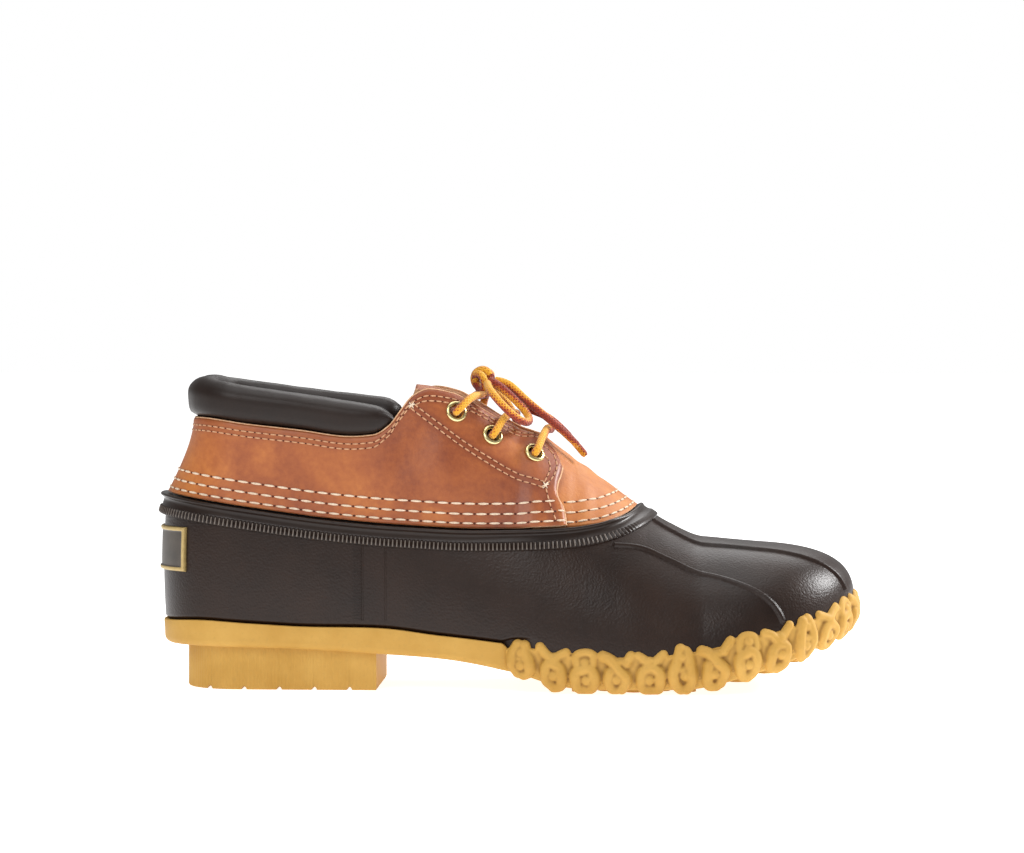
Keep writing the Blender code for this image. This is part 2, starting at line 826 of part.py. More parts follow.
def vamp(look, boot):
    """The leather over the instep, between the rim and the throat."""
    stations = [along(at) for at in (VAMP_START,) + FRONT_STATIONS] + front_stations(RIM_GAP)
    columns = []
    for x in stations:
        half = []
        for side in (LATERAL, MEDIAL):
            ray = Ray(side, place_of(x))
            low = angles_behind_flange(ray, RIM_GAP)
            angles = low + [low[-1] + (HALF_TURN - low[-1]) * step / 3 for step in range(1, 4)]
            half.append([offset_point(ray, angle, -VAMP_INSET) for angle in angles])
        columns.append(half[0] + half[1][-2::-1])
    wall(columns, "vamp", look, boot, VAMP_WALL, closed=False)


def tongue_height(x, y):
    """Upper face of the tongue: its own crown behind, and under the vamp in front."""
    free = TONGUE_TOP * TONGUE(x / SHOE_LENGTH) - y * y / (2 * TONGUE_ROUND)
    under = ridge_height(x) - TONGUE_DEPTH - y * y / (2 * TONGUE_ROUND)
    blend = ease((x - along(VAMP_START) + TONGUE_DIP) / TONGUE_DIP_BLEND)
    return free * (1 - blend) + min(free, under) * blend


def tongue_half_width(side, x):
    """How far the tongue reaches before it would touch the quarter or the vamp."""
    ray = Ray(side, place_of(x))
    crown = ray.y

    def room(y):
        height = tongue_height(x, y)
        over_flange = height > rim_height(x) + FLANGE_HEIGHT + TONGUE_DEPTH
        inside = LEATHER_WALL if over_flange else FLANGE_INSET + SHELL_WALL
        return ray.at_angle(ray.angle_of_height(height))[0] + side * crown - inside - TONGUE_CLEARANCE

    low, high = 0.0, BALL_WIDTH / 3
    for _ in range(30):
        middle = (low + high) / 2
        if middle < room(middle):
            low = middle
        else:
            high = middle
    return low


def tongue(look, boot):
    """The tongue, from under the vamp to just above the top eyelets."""
    steps, columns = 9, []
    for i in range(steps):
        x = along(TONGUE_START + (TONGUE_END - TONGUE_START) * i / (steps - 1))
        reach = {side: tongue_half_width(side, x) for side in (LATERAL, MEDIAL)}
        column = []
        for j in range(-4, 5):
            side = LATERAL if j < 0 else MEDIAL
            y = reach[side] * j / 4
            column.append(row_point(x, y, tongue_height(x, y)))
        columns.append(column)
    wall(columns, "tongue", look, boot, TONGUE_WALL, closed=False)


def pad_column(ray):
    """One section of the padded collar: tucked behind the leather's edge, rolled over at the top."""
    x = ray.plan(ray.at_angle(ray.angle_of(edge_height))[0])[0]
    edge, top = edge_height(x), collar_height(ray.side, x)
    tall = max(top - edge, PAD_LEAST)
    swell = min(tall / PAD_FULL, 1.0)
    tuck = -LEATHER_WALL - PAD_GAP
    depth = min(PAD_THICKNESS, 0.75 * tall + PAD_LEAST)
    outline = [
        (tuck, -PAD_TUCK),
        (tuck, -PAD_CREASE),
        (tuck + (PAD_BULGE - tuck) * 0.75 * swell, 0.16 * tall),
        (tuck + (PAD_BULGE - tuck) * swell, 0.42 * tall),
        (tuck + (PAD_BULGE - tuck) * 0.85 * swell, 0.72 * tall),
        (tuck + (PAD_BULGE - tuck) * 0.25 * swell - 0.12 * depth, 0.95 * tall),
        (tuck - 0.38 * depth, tall),
        (tuck - 0.75 * depth, 0.88 * tall),
        (tuck - depth, 0.55 * tall),
        (tuck - depth, 0.0),
        (tuck - 0.75 * depth, -PAD_TUCK),
    ]
    points = []
    for out, rise in outline:
        here, height = ray.at_angle(ray.angle_of_height(edge + rise))
        points.append(row_point(*ray.plan(here + out), edge + rise))
    return points + points[:1]


def collar(look, boot):
    """The padded collar round the ankle opening."""
    stations = [at for at in BODY_STATIONS if at < PAD_FRONT] + [PAD_FRONT]
    places = HEEL_PLACES + [place_of(along(at)) for at in stations]
    rays = [Ray(MEDIAL, place) for place in reversed(places)]
    rays += [Ray(LATERAL, place) for place in places[1:]]
    mesh = loft([pad_column(ray) for ray in rays], closed=False)
    bmesh.ops.holes_fill(mesh, edges=[edge for edge in mesh.edges if edge.is_boundary])
    bmesh.ops.recalc_face_normals(mesh, faces=mesh.faces)
    new_object("collar", finished(mesh, "collar", 60), look, boot)


def insole(look, boot):
    """The insole on the sole's floor, inside the rubber."""
    inset = SHELL_WALL + INSOLE_CLEARANCE
    columns = []
    for ray in ring(ALL_PLACES):
        low_angle = ray.angle_of(floor_height, 2 * FIT_GAP)
        low = ray.at_angle(low_angle)[0] + shell_offset(ray.edge_x, floor_height(ray.edge_x)) - inset
        high_angle = ray.angle_of(floor_height, FIT_GAP + INSOLE_THICKNESS)
        high = ray.at_angle(high_angle)[0] + shell_offset(ray.edge_x, floor_height(ray.edge_x)) - inset
        high = min(low, high)
        column = []
        middle = ray.reach * FLOOR_SHARE
        outline = ((0.0, 0), (middle, 0), (low, 0), (high, 1), (middle, 1), (0.0, 1))
        for reach, rise in outline:
            height = floor_at(ray, reach) + INSOLE_SEAT + INSOLE_THICKNESS * rise
            column.append(row_point(*ray.plan(reach), height))
        columns.append(column)
    new_object("insole", solid(columns, "insole"), look, boot)


def chain_places():
    """(place, phase in the link) along one side, three to a link, from the chain's start to the tip."""
    places = np.linspace(place_of(along(CHAIN_START)), 3.0, 400)
    rays = [Ray(LATERAL, place) for place in places]
    points = [Vector(ray.plan(ray.reach)) for ray in rays]
    lengths = [0.0]
    for here, there in zip(points, points[1:]):
        lengths.append(lengths[-1] + (there - here).length)
    links = round(lengths[-1] / LINK_PITCH)
    made = []
    for link in range(links):
        for phase in LINK_PHASES:
            made.append((float(np.interp((link + phase) * lengths[-1] / links, lengths, places)), phase))
    return made + [(3.0, 0.0)]


def sole_column(ray, phase):
    """One section of the outsole, from the middle of its underside round to the middle of its floor."""
    x = ray.edge_x
    ground, slab, floor, top = ground_height(x), slab_height(x), floor_height(x), side_height(x)
    chained = phase is not None
    if chained:
        swell = math.sin(math.pi * phase) ** 0.7 if 0 < phase < 1 else 0.0
        top -= CHAIN_SCALLOP * (1 - swell)
        out = CHAIN_VALLEY + (CHAIN_STANDS - CHAIN_VALLEY) * swell
        foot = ground + CHAIN_FOOT - CHAIN_FOOT_SWELL * swell
        wall_height = top - foot
        outside = [
            (-CHAIN_TUCK, ground + CHAIN_FOOT / 3),
            (out - CHAIN_ROUND, foot),
            (out, foot + 0.22 * wall_height),
            (out - 0.25 * CHAIN_ROUND * swell, foot + 0.62 * wall_height),
            (out - CHAIN_ROUND * (1 + 0.25 * swell), top),
        ]
    else:
        heel = ray.x <= along(HEEL_END)
        if heel:
            back = ease(1 - ray.place) if ray.place < 1 else 0.0
            inset = HEEL_SIDE_INSET + (HEEL_START - HEEL_SIDE_INSET) * back
            outside = [(-inset - HEEL_CHAMFER, 0.0), (-inset, HEEL_CHAMFER)]
        else:
            outside = [(-BAND_TUCK, slab), (-CHAIN_TUCK, slab)]
        outside += [
            (-inset if heel else BAND_STANDS - BAND_ROUND, slab),
            (BAND_STANDS, slab + BAND_ROUND),
            (BAND_STANDS - BAND_DRAFT, top),
        ]
    seat = FIT_GAP - rebate(ray.edge_x)
    points = []
    inner = ray.reach + outside[0][0] - UNDER_ROUND * (2 if chained else 1)
    for reach in (0.0, ray.reach * FLOOR_SHARE, inner):
        mx, my = ray.plan(reach)
        base = 0.0 if not chained and heel else slab_height(mx)
        points.append(row_point(mx, my, base))
    for out, z in outside:
        px, py = ray.plan(ray.reach + out + wall_bulge(ray, z))
        points.append(row_point(px, py, z))
    px, py = ray.plan(ray.reach + seat + wall_bulge(ray, top))
    points.append(row_point(px, py, top))
    for reach in (ray.reach + seat, ray.reach * FLOOR_SHARE, 0.0):
        points.append(row_point(*ray.plan(reach), floor_at(ray, reach)))
    return points


def wall_bulge(ray, height):
    """How far the last has left its lower edge at this height."""
    if height <= ray.foot:
        return 0.0
    return ray.at_angle(ray.angle_of_height(height))[0] - ray.reach


def sole_rays():
    """(ray, phase in the link) all round. The phase is None on the smooth band."""
    stations = [at for at in BODY_STATIONS if at < HEEL_END - STATION_GAP] + [HEEL_END, HEEL_END + BREAST]
    stations += [at for at in BODY_STATIONS if HEEL_END + STATION_GAP < at < CHAIN_START - STATION_GAP]
    stations += [CHAIN_START - BREAST]
    places = HEEL_PLACES + [place_of(along(at)) for at in stations]
    steps = [(place, None) for place in places] + chain_places()
    lateral = [(Ray(LATERAL, place), phase) for place, phase in steps]
    medial = [(Ray(MEDIAL, place), phase) for place, phase in steps[-2:0:-1]]
    return lateral + medial


def outsole(look, boot, helpers):
    """The gum sole: smooth band, heel block, chain tread up the forefoot and lugs below it."""
    columns = [sole_column(ray, phase) for ray, phase in sole_rays()]
    sole = new_object("outsole", solid(columns, "outsole"), look, boot)
    add_boolean(sole, helper("lugs", lug_mesh(), helpers), "UNION")
    add_boolean(sole, helper("heel_grooves", groove_mesh(), helpers), "DIFFERENCE")


def lug_mesh():
    """The lugs below the forefoot, in staggered rows inside the ring of links."""
    mesh = bmesh.new()
    rows = int((along(TREAD_END) - along(CHAIN_START)) / LUG_PITCH)
    for i in range(rows):
        x = along(CHAIN_START) + FIRST_LUG + i * LUG_PITCH
        across = 0.55 * LUG_PITCH if i % 2 else 0.0
        for j in range(-4, 5):
            y = across + j * LUG_PITCH
            if room_inside(x, y) < LUG_MARGIN:
                continue
            base, tip = slab_height(x) + LUG_ROOT, ground_height(x)
            made = bmesh.ops.create_cone(
                mesh,
                cap_ends=True,
                segments=6,
                radius1=LUG_RADIUS,
                radius2=LUG_RADIUS + LUG_FLARE,
                depth=base - tip,
            )
            bmesh.ops.translate(mesh, verts=made["verts"], vec=row_point(x, y, (base + tip) / 2))
    return finished(mesh, "lugs")


def room_inside(x, y):
    """How far a point of the plan lies inside the last's lower edge."""
    toe_x, toe_y = along(TOE_SPINE), CROWN(TOE_SPINE) * BALL_WIDTH
    if x <= toe_x:
        side = LATERAL if y < 0 else MEDIAL
        return half_width(side, x / SHOE_LENGTH) - abs(y)
    side = LATERAL if y < toe_y else MEDIAL
    turn = math.atan2(abs(y - toe_y), x - toe_x)
    return Ray(side, 3 - turn / HALF_TURN).reach - math.hypot(x - toe_x, y - toe_y)


def groove_mesh():
    """Cutters for the grooves across the heel's ground face."""
    mesh = bmesh.new()
    count = int((along(HEEL_END) - HEEL_START) / HEEL_GROOVE_PITCH)
    for i in range(count):
        x = HEEL_START + HEEL_GROOVE_PITCH * (i + 0.75)
        made = bmesh.ops.create_cube(mesh, size=1.0)
        size = (HEEL_GROOVE_WIDTH, BALL_WIDTH, 2 * HEEL_GROOVE_DEPTH)
        bmesh.ops.scale(mesh, verts=made["verts"], vec=size)
        bmesh.ops.translate(mesh, verts=made["verts"], vec=row_point(x, 0, 0))
    return finished(mesh, "heel_grooves")


def eyelet_seat(side, number):
    """Centre on the leather's face, and the outward normal, of one eyelet."""
    at, below = EYELETS[number]
    x = along(at)
    ray = Ray(side, place_of(x))
    edge = ray.angle_of(edge_height)
    low, high = 0.0, edge
    lift = quarter_offset(x)
    top = offset_point(ray, edge, lift)
    for _ in range(30):
        middle = (low + high) / 2
        if (offset_point(ray, middle, lift) - top).length > below:
            low = middle
        else:
            high = middle
    return offset_point(ray, low, lift), normal_at(ray, low)


def turned_to(mesh, verts, point, normal):
    turn = Vector((0, 0, 1)).rotation_difference(normal).to_matrix()
    bmesh.ops.rotate(mesh, verts=verts, cent=(0, 0, 0), matrix=turn)
    bmesh.ops.translate(mesh, verts=verts, vec=point)


def eyelet_holes():
    mesh = bmesh.new()
    radius = EYELET_BARREL + FIT_GAP
    for side in (LATERAL, MEDIAL):
        for number in range(len(EYELETS)):
            point, normal = eyelet_seat(side, number)
            made = bmesh.ops.create_cone(
                mesh, cap_ends=True, segments=12, radius1=radius, radius2=radius, depth=HOLE_DEPTH
            )
            turned_to(mesh, made["verts"], point, normal)
    return finished(mesh, "eyelet_holes")


def eyelet(look, boot, side, number):
    """A brass eyelet: domed flange outside, barrel through the leather, rolled edge inside."""
    back = LEATHER_WALL + EYELET_ROLL
    profile = [
        (EYELET_BORE, -back),
        (EYELET_BARREL, -back),
        (EYELET_BARREL, FIT_GAP),
        (EYELET_RADIUS, FIT_GAP),
        (EYELET_RADIUS * 0.82, FIT_GAP + EYELET_DOME),
        (EYELET_BORE * 1.12, FIT_GAP + EYELET_DOME),
    ]
    columns = []
    for i in range(EYELET_TURNS):
        turn = 2 * math.pi * i / EYELET_TURNS
        ring_points = [(r * math.cos(turn), r * math.sin(turn), z) for r, z in profile + profile[:1]]
        columns.append([Vector(point) for point in ring_points])
    mesh = loft(columns, closed=True)
    bmesh.ops.recalc_face_normals(mesh, faces=mesh.faces)
    point, normal = eyelet_seat(side, number)
    turned_to(mesh, mesh.verts, point, normal)
    name = f"eyelet_{'lateral' if side == LATERAL else 'medial'}_{number + 1}"
    new_object(name, finished(mesh, name), look, boot)


def tube(name, points, look, boot):
    """A lace as a curve object: a poly spline read from a smooth curve through the route's points."""
    smooth = smooth_route(points)
    data = bpy.data.curves.new(name, "CURVE")
    data.dimensions = "3D"
    data.bevel_depth = LACE_DIAMETER / 2
    data.bevel_resolution = 2
    data.use_fill_caps = True
    spline = data.splines.new("POLY")
    spline.points.add(len(smooth) - 1)
    for target, point in zip(spline.points, smooth):
        target.co = (*point, 1.0)
    obj = bpy.data.objects.new(name, data)
    boot.objects.link(obj)
    obj.data.materials.append(look)


def smooth_route(points):
    """Evenly spaced points on a smooth curve through the route's own points."""
    points = [Vector(p) for p in points]
    ends = [2 * points[0] - points[1]] + points + [2 * points[-1] - points[-2]]
    dense = []
    for i in range(1, len(ends) - 2):
        a, b, c, d = ends[i - 1 : i + 3]
        for step in range(12):
            t = step / 12
            square, cube = 2 * a - 5 * b + 4 * c - d, 3 * b - a - 3 * c + d
            dense.append(0.5 * (2 * b + (c - a) * t + square * t * t + cube * t ** 3))
    dense.append(points[-1])
    lengths = [0.0]
    for here, there in zip(dense, dense[1:]):
        lengths.append(lengths[-1] + (there - here).length)
    count = max(int(round(lengths[-1] / LACE_STEP)), 2)
    made = []
    for i in range(count + 1):
        want = lengths[-1] * i / count
        made.append(Vector([float(np.interp(want, lengths, [p[k] for p in dense])) for k in range(3)]))
    return made


def over_edge(side, x):
    """The middle of a lace where it runs over the throat's edge."""
    ray = Ray(side, place_of(x))
    return offset_point(ray, ray.angle_of(edge_height), quarter_offset(x) + LACE_DIAMETER / 2 + LACE_GAP)


def lace_bar(look, boot, number):
    """A stretch of lace across the throat, from one eyelet's mouth to the other's, bowed to the toe."""
    at, lean = along(EYELETS[number][0]), BAR_LEAN[number]
    mouth = FIT_GAP + EYELET_DOME + MOUTH_GAP + LACE_DIAMETER / 2
    (near, near_up), (far, far_up) = eyelet_seat(LATERAL, number), eyelet_seat(MEDIAL, number)
    near_edge, far_edge = over_edge(LATERAL, at + lean / 2), over_edge(MEDIAL, at + lean / 2)
    middle = (near_edge + far_edge) / 2 + Vector((lean / 2, 0, BAR_RISE))
    points = [near + near_up * mouth, near_edge, middle, far_edge, far + far_up * mouth]
    tube(f"lace_bar_{number + 1}", points, look, boot)
    return middle


def knot_exit(centre, towards):
    """Where a lace leaves the knot."""
    away = (towards - centre).normalized()
    reach = 1 / math.sqrt(sum((2 * part / size) ** 2 for part, size in zip(away, KNOT_SIZE)))
    return centre + away * (reach + FIT_GAP)


def lace(look, boot):
    """Three bars across the throat, the knot on the top one, and its loops and free ends."""
    middles = [lace_bar(look, boot, number) for number in range(len(EYELETS))]
    centre = middles[0] + Vector((0, 0, LACE_DIAMETER / 2 + FIT_GAP + KNOT_SIZE[2] / 2))
    mesh = bmesh.new()
    bmesh.ops.create_uvsphere(mesh, u_segments=10, v_segments=7, radius=0.5)
    bmesh.ops.scale(mesh, verts=mesh.verts, vec=KNOT_SIZE)
    bmesh.ops.translate(mesh, verts=mesh.verts, vec=centre)
    new_object("lace_knot", finished(mesh, "lace_knot"), look, boot)
    for name, route in LACE_ROUTES.items():
        points = [row_point(*point) for point in route]
        points.insert(0, knot_exit(centre, points[0]))
        if name.startswith("lace_loop"):
            points.append(knot_exit(centre, points[-1]))
        tube(name, points, look, boot)


def heel_badge(look, boot):
    """The plate on the back of the heel: a raised frame round a bare field."""
    inside = BADGE_SPREAD - BADGE_BORDER / (half_width(MEDIAL, HEEL_SPINE) * HALF_TURN)
    middle = [place for place in HEEL_PLACES if place < inside]
    places = [-BADGE_SPREAD, -inside] + [-place for place in middle[:0:-1]] + middle + [inside, BADGE_SPREAD]
    low = BADGE_TOP - BADGE_HEIGHT
    heights = [low, low + BADGE_BORDER, BADGE_TOP - BADGE_BORDER, BADGE_TOP]
    columns = []
    for i, place in enumerate(places):
        ray = Ray(MEDIAL if place > 0 else LATERAL, abs(place))
        framed = i in (0, 1, len(places) - 2, len(places) - 1)
        outer, inner = [], []
        for j, height in enumerate(heights):
            angle = ray.angle_of_height(height)
            stands = BADGE_FRAME if framed or j in (0, len(heights) - 1) else BADGE_FIELD
            outer.append(offset_point(ray, angle, FIT_GAP + stands))
            inner.append(offset_point(ray, angle, FIT_GAP))
        columns.append(outer + inner[::-1] + outer[:1])
    mesh = loft(columns, closed=False)
    bmesh.ops.holes_fill(mesh, edges=[edge for edge in mesh.edges if edge.is_boundary])
    bmesh.ops.recalc_face_normals(mesh, faces=mesh.faces)
    new_object("heel_badge", finished(mesh, "heel_badge"), look, boot)


def clear_scene():
    for obj in list(bpy.data.objects):
        bpy.data.objects.remove(obj)


def collection(name):
    made = bpy.data.collections.new(name)
    bpy.context.scene.collection.children.link(made)
    return made


def main():
    clear_scene()
    boot, helpers = collection("duck_boot"), collection("cutters")
    gum = material("gum_rubber", (0.68, 0.42, 0.12), 0.6)
    rubber = material("brown_rubber", (0.035, 0.022, 0.016), 0.4)
    tan = material("tan_leather", (0.50, 0.17, 0.05), 0.5)
    suede = material("tongue_leather", (0.45, 0.20, 0.10), 0.8)
    dark = material("collar_leather", (0.020, 0.014, 0.011), 0.45)
    board = material("insole_felt", (0.35, 0.27, 0.18), 0.9)
    brass = material("brass", (0.75, 0.60, 0.28), 0.3, 1.0)
    cord = material("lace_cord", (0.62, 0.26, 0.06), 0.8)
    plate = material("badge_plate", (0.40, 0.29, 0.11), 0.4)
    outsole(gum, boot, helpers)
    insole(board, boot)
    rubber_shell(rubber, boot, helpers)
    vamp(tan, boot)
    quarters(tan, boot, helpers)
    tongue(suede, boot)
    collar(dark, boot)
    for side in (LATERAL, MEDIAL):
        for number in range(len(EYELETS)):
            eyelet(brass, boot, side, number)
    lace(cord, boot)
    heel_badge(plate, boot)


main()
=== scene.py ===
# Low duck boot, right foot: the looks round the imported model.
# Metres, +X to the toe, +Y to the inner side; a number times mm was measured in millimetres.
import math

import bmesh
import bpy
import numpy as np
from mathutils import Matrix, Vector, noise


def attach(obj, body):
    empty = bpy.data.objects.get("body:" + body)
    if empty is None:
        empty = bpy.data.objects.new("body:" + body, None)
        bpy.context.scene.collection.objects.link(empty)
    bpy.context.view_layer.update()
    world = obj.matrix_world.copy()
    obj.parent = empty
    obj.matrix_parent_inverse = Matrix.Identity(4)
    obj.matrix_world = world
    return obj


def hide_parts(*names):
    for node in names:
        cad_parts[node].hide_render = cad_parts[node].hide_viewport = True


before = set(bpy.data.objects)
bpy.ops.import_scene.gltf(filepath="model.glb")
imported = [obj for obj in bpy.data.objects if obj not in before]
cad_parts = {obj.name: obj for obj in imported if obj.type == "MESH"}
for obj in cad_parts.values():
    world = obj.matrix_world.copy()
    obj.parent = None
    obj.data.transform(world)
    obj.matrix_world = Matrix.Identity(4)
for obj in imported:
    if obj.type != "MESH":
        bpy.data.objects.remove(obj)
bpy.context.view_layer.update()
mm = 0.001
quarterTurn = math.pi / 2


def report(stage):
    print("duck boot:", stage)


def smoothLine(table, column):
    x = np.array([row[0] for row in table], float)
    y = np.array([row[column] for row in table], float)
    step = np.diff(y) / np.diff(x)
    slope = np.zeros(len(x))
    for i in range(1, len(x) - 1):
        if step[i - 1] * step[i] > 0:
            slope[i] = 2 * step[i - 1] * step[i] / (step[i - 1] + step[i])
    slope[0], slope[-1] = step[0], step[-1]

    def line(at):
        at = np.clip(at, x[0], x[-1])
        i = np.clip(np.searchsorted(x, at, side="right") - 1, 0, len(x) - 2)
        h = x[i + 1] - x[i]
        t = (at - x[i]) / h
        rising = y[i] * (1 + 2 * t) * (1 - t) ** 2 + y[i + 1] * t * t * (3 - 2 * t)
        return rising + h * slope[i] * t * (1 - t) ** 2 - h * slope[i + 1] * t * t * (1 - t)

    return line


def ease(share):
    share = np.clip(share, 0.0, 1.0)
    return share * share * (3 - 2 * share)


def hump(x, middle, half):  # a soft ridge, 1 at the middle and 0 beyond half either way
    return np.cos(np.clip((x - middle) / half, -1, 1) * math.pi) / 2 + 0.5

def runOf(path):  # the length along a path up to each of its points
    return np.concatenate([[0], np.cumsum(np.linalg.norm(np.diff(path, axis=0), axis=1))])


def pointsAt(want, run, path):  # points of a path at wanted lengths along it
    return np.stack([np.interp(want, run, path[:, k]) for k in range(3)], -1)


def unit(vectors):
    return vectors / np.linalg.norm(vectors, axis=1, keepdims=True)


def bothSides(places):  # from the toe along the outer side, round the heel and along the inner side
    return np.concatenate([-places[::-1], places[1:]])


def cell(share, count):  # turns a share of a grid back into a row or column
    return np.round(share * count).astype(int)


def narrowed(low, high, holds, rounds):  # closes in on where holds(x), true at low, stops being true
    for _ in range(rounds):
        middle = (low + high) / 2
        found = holds(middle)
        low, high = np.where(found, middle, low), np.where(found, high, middle)
    return low, high


# The last that every piece follows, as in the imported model
last = {
    "length": 0.300,
    "ballWidth": 0.104,
    "toeHeight": 0.0614,
    "instepHeight": 0.126,
    "rimHeight": 0.0817,
    "toplineHeight": 0.1155,
    "collarHeight": 0.133,
    "heelLift": 0.0185,
    "toeSpring": 0.0245,
    "sideHeight": 0.020,
    "backLean": 0.0125,
    "sideLean": 0.0035,
    "sideBulge": 0.0012,
    "slab": 0.0042,
    "lugDepth": 0.0022,
    "fitGap": 0.0003,
    "chainStands": 0.0036,
    "heelSpine": 0.120,
    "toeSpine": 0.770,
    "heelPower": 2.25,
    "toePowers": (2.10, 2.30),
    "tipArchPower": 3.30,
    "originFromBack": 0.05875,
}

sections = (  # at, lateral, medial, crown, rise, power of the arch
    (0.120, 0.341, 0.332, 0.000, 10.0, 2.00),
    (0.200, 0.346, 0.332, 0.000, 10.0, 2.00),
    (0.283, 0.351, 0.322, 0.000, 8.00, 2.00),
    (0.340, 0.362, 0.320, 0.003, 3.20, 2.00),
    (0.373, 0.372, 0.325, 0.008, 2.00, 2.00),
    (0.407, 0.388, 0.334, 0.018, 1.50, 2.00),
    (0.440, 0.404, 0.346, 0.030, 1.22, 2.00),
    (0.477, 0.422, 0.364, 0.044, 1.00, 2.00),
    (0.543, 0.456, 0.404, 0.062, 0.72, 2.00),
    (0.593, 0.476, 0.440, 0.076, 0.54, 2.00),
    (0.637, 0.488, 0.466, 0.088, 0.39, 2.02),
    (0.680, 0.495, 0.488, 0.096, 0.245, 2.05),
    (0.723, 0.494, 0.504, 0.102, 0.12, 2.08),
    (0.770, 0.484, 0.512, 0.106, 0.030, 2.12),
    (0.860, 0.440, 0.500, 0.106, 0.000, 2.15),
    (1.000, 0.300, 0.300, 0.106, 0.000, 2.15),
)
underside = (  # at, lift, spring, side, tread
    (0.000, 1.00, 0.000, 0.500, 0.0),
    (0.060, 1.00, 0.000, 0.560, 0.0),
    (0.130, 0.98, 0.000, 0.520, 0.0),
    (0.203, 0.95, 0.000, 0.490, 0.0),
    (0.323, 0.84, 0.000, 0.560, 0.0),
    (0.400, 0.76, 0.000, 0.500, 0.0),
    (0.485, 0.54, 0.000, 0.570, 0.0),
    (0.505, 0.42, 0.000, 0.740, 0.5),
    (0.535, 0.22, 0.000, 0.910, 1.0),
    (0.575, 0.05, 0.000, 0.955, 1.0),
    (0.610, 0.00, 0.000, 0.955, 1.0),
    (0.697, 0.00, 0.000, 0.955, 1.0),
    (0.750, 0.00, 0.012, 1.045, 1.0),
    (0.800, 0.00, 0.120, 1.055, 1.0),
    (0.837, 0.00, 0.250, 1.035, 1.0),
    (0.887, 0.00, 0.420, 1.015, 1.0),
    (0.920, 0.00, 0.590, 0.945, 1.0),
    (0.963, 0.00, 0.820, 0.905, 1.0),
    (0.990, 0.00, 1.000, 0.825, 1.0),
)
rimLine = (
    (0.000, 1.010), (0.021, 1.000), (0.132, 0.939), (0.245, 0.884), (0.343, 0.853),
    (0.457, 0.834), (0.540, 0.836), (0.583, 0.842), (0.617, 0.856), (0.650, 0.888),
    (0.680, 0.945), (0.720, 1.100), (0.800, 1.500),
)
topline = (
    (0.000, 0.990), (0.053, 0.998), (0.130, 0.975), (0.200, 0.955), (0.273, 0.932),
    (0.305, 0.938), (0.329, 0.975), (0.345, 1.030), (0.362, 1.083), (0.383, 1.107),
    (0.417, 1.092), (0.440, 1.062), (0.482, 0.996), (0.540, 0.912), (0.557, 0.868),
    (0.572, 0.790),
)
collarTop = (  # at, lateral, medial
    (0.000, 1.000, 1.000), (0.045, 1.000, 1.000), (0.073, 0.989, 0.992),
    (0.139, 0.967, 0.972), (0.215, 0.944, 0.952), (0.292, 0.917, 0.932),
    (0.333, 0.897, 0.922),
)
tongueCrown = (
    (0.350, 1.000), (0.377, 0.992), (0.427, 0.950), (0.478, 0.896),
    (0.520, 0.826), (0.543, 0.776), (0.577, 0.706),
)

lateralHalf, medialHalf, crownShare, riseShare, archPower = (smoothLine(sections, i) for i in range(1, 6))
liftShare, springShare, sideShare, treadShare = (smoothLine(underside, i) for i in range(1, 5))
rimShare, edgeShare = smoothLine(rimLine, 1), smoothLine(topline, 1)
collarLateral, collarMedial = smoothLine(collarTop, 1), smoothLine(collarTop, 2)
tongueShare = smoothLine(tongueCrown, 1)


def ridgeHeight(x):
    return last["toeHeight"] + (last["instepHeight"] - last["toeHeight"]) * riseShare(x / last["length"])


def groundHeight(x):
    at = x / last["length"]
    return last["heelLift"] * liftShare(at) + last["toeSpring"] * springShare(at)


def slabHeight(x):
    return groundHeight(x) + last["lugDepth"] * treadShare(x / last["length"])


def floorHeight(x):
    return slabHeight(x) + last["slab"]


def sideHeight(x):
    return groundHeight(x) + last["sideHeight"] * sideShare(x / last["length"])


def rimHeight(x):
    return last["rimHeight"] * rimShare(x / last["length"])


def edgeHeight(x):
    return last["toplineHeight"] * edgeShare(x / last["length"])


def roundReach(turn, along, across, power):  # how far a rounded outline lies in one direction
    x, y = np.abs(np.cos(turn)) / along, np.abs(np.sin(turn)) / across
    return (x ** power + y ** power) ** (-1 / power)


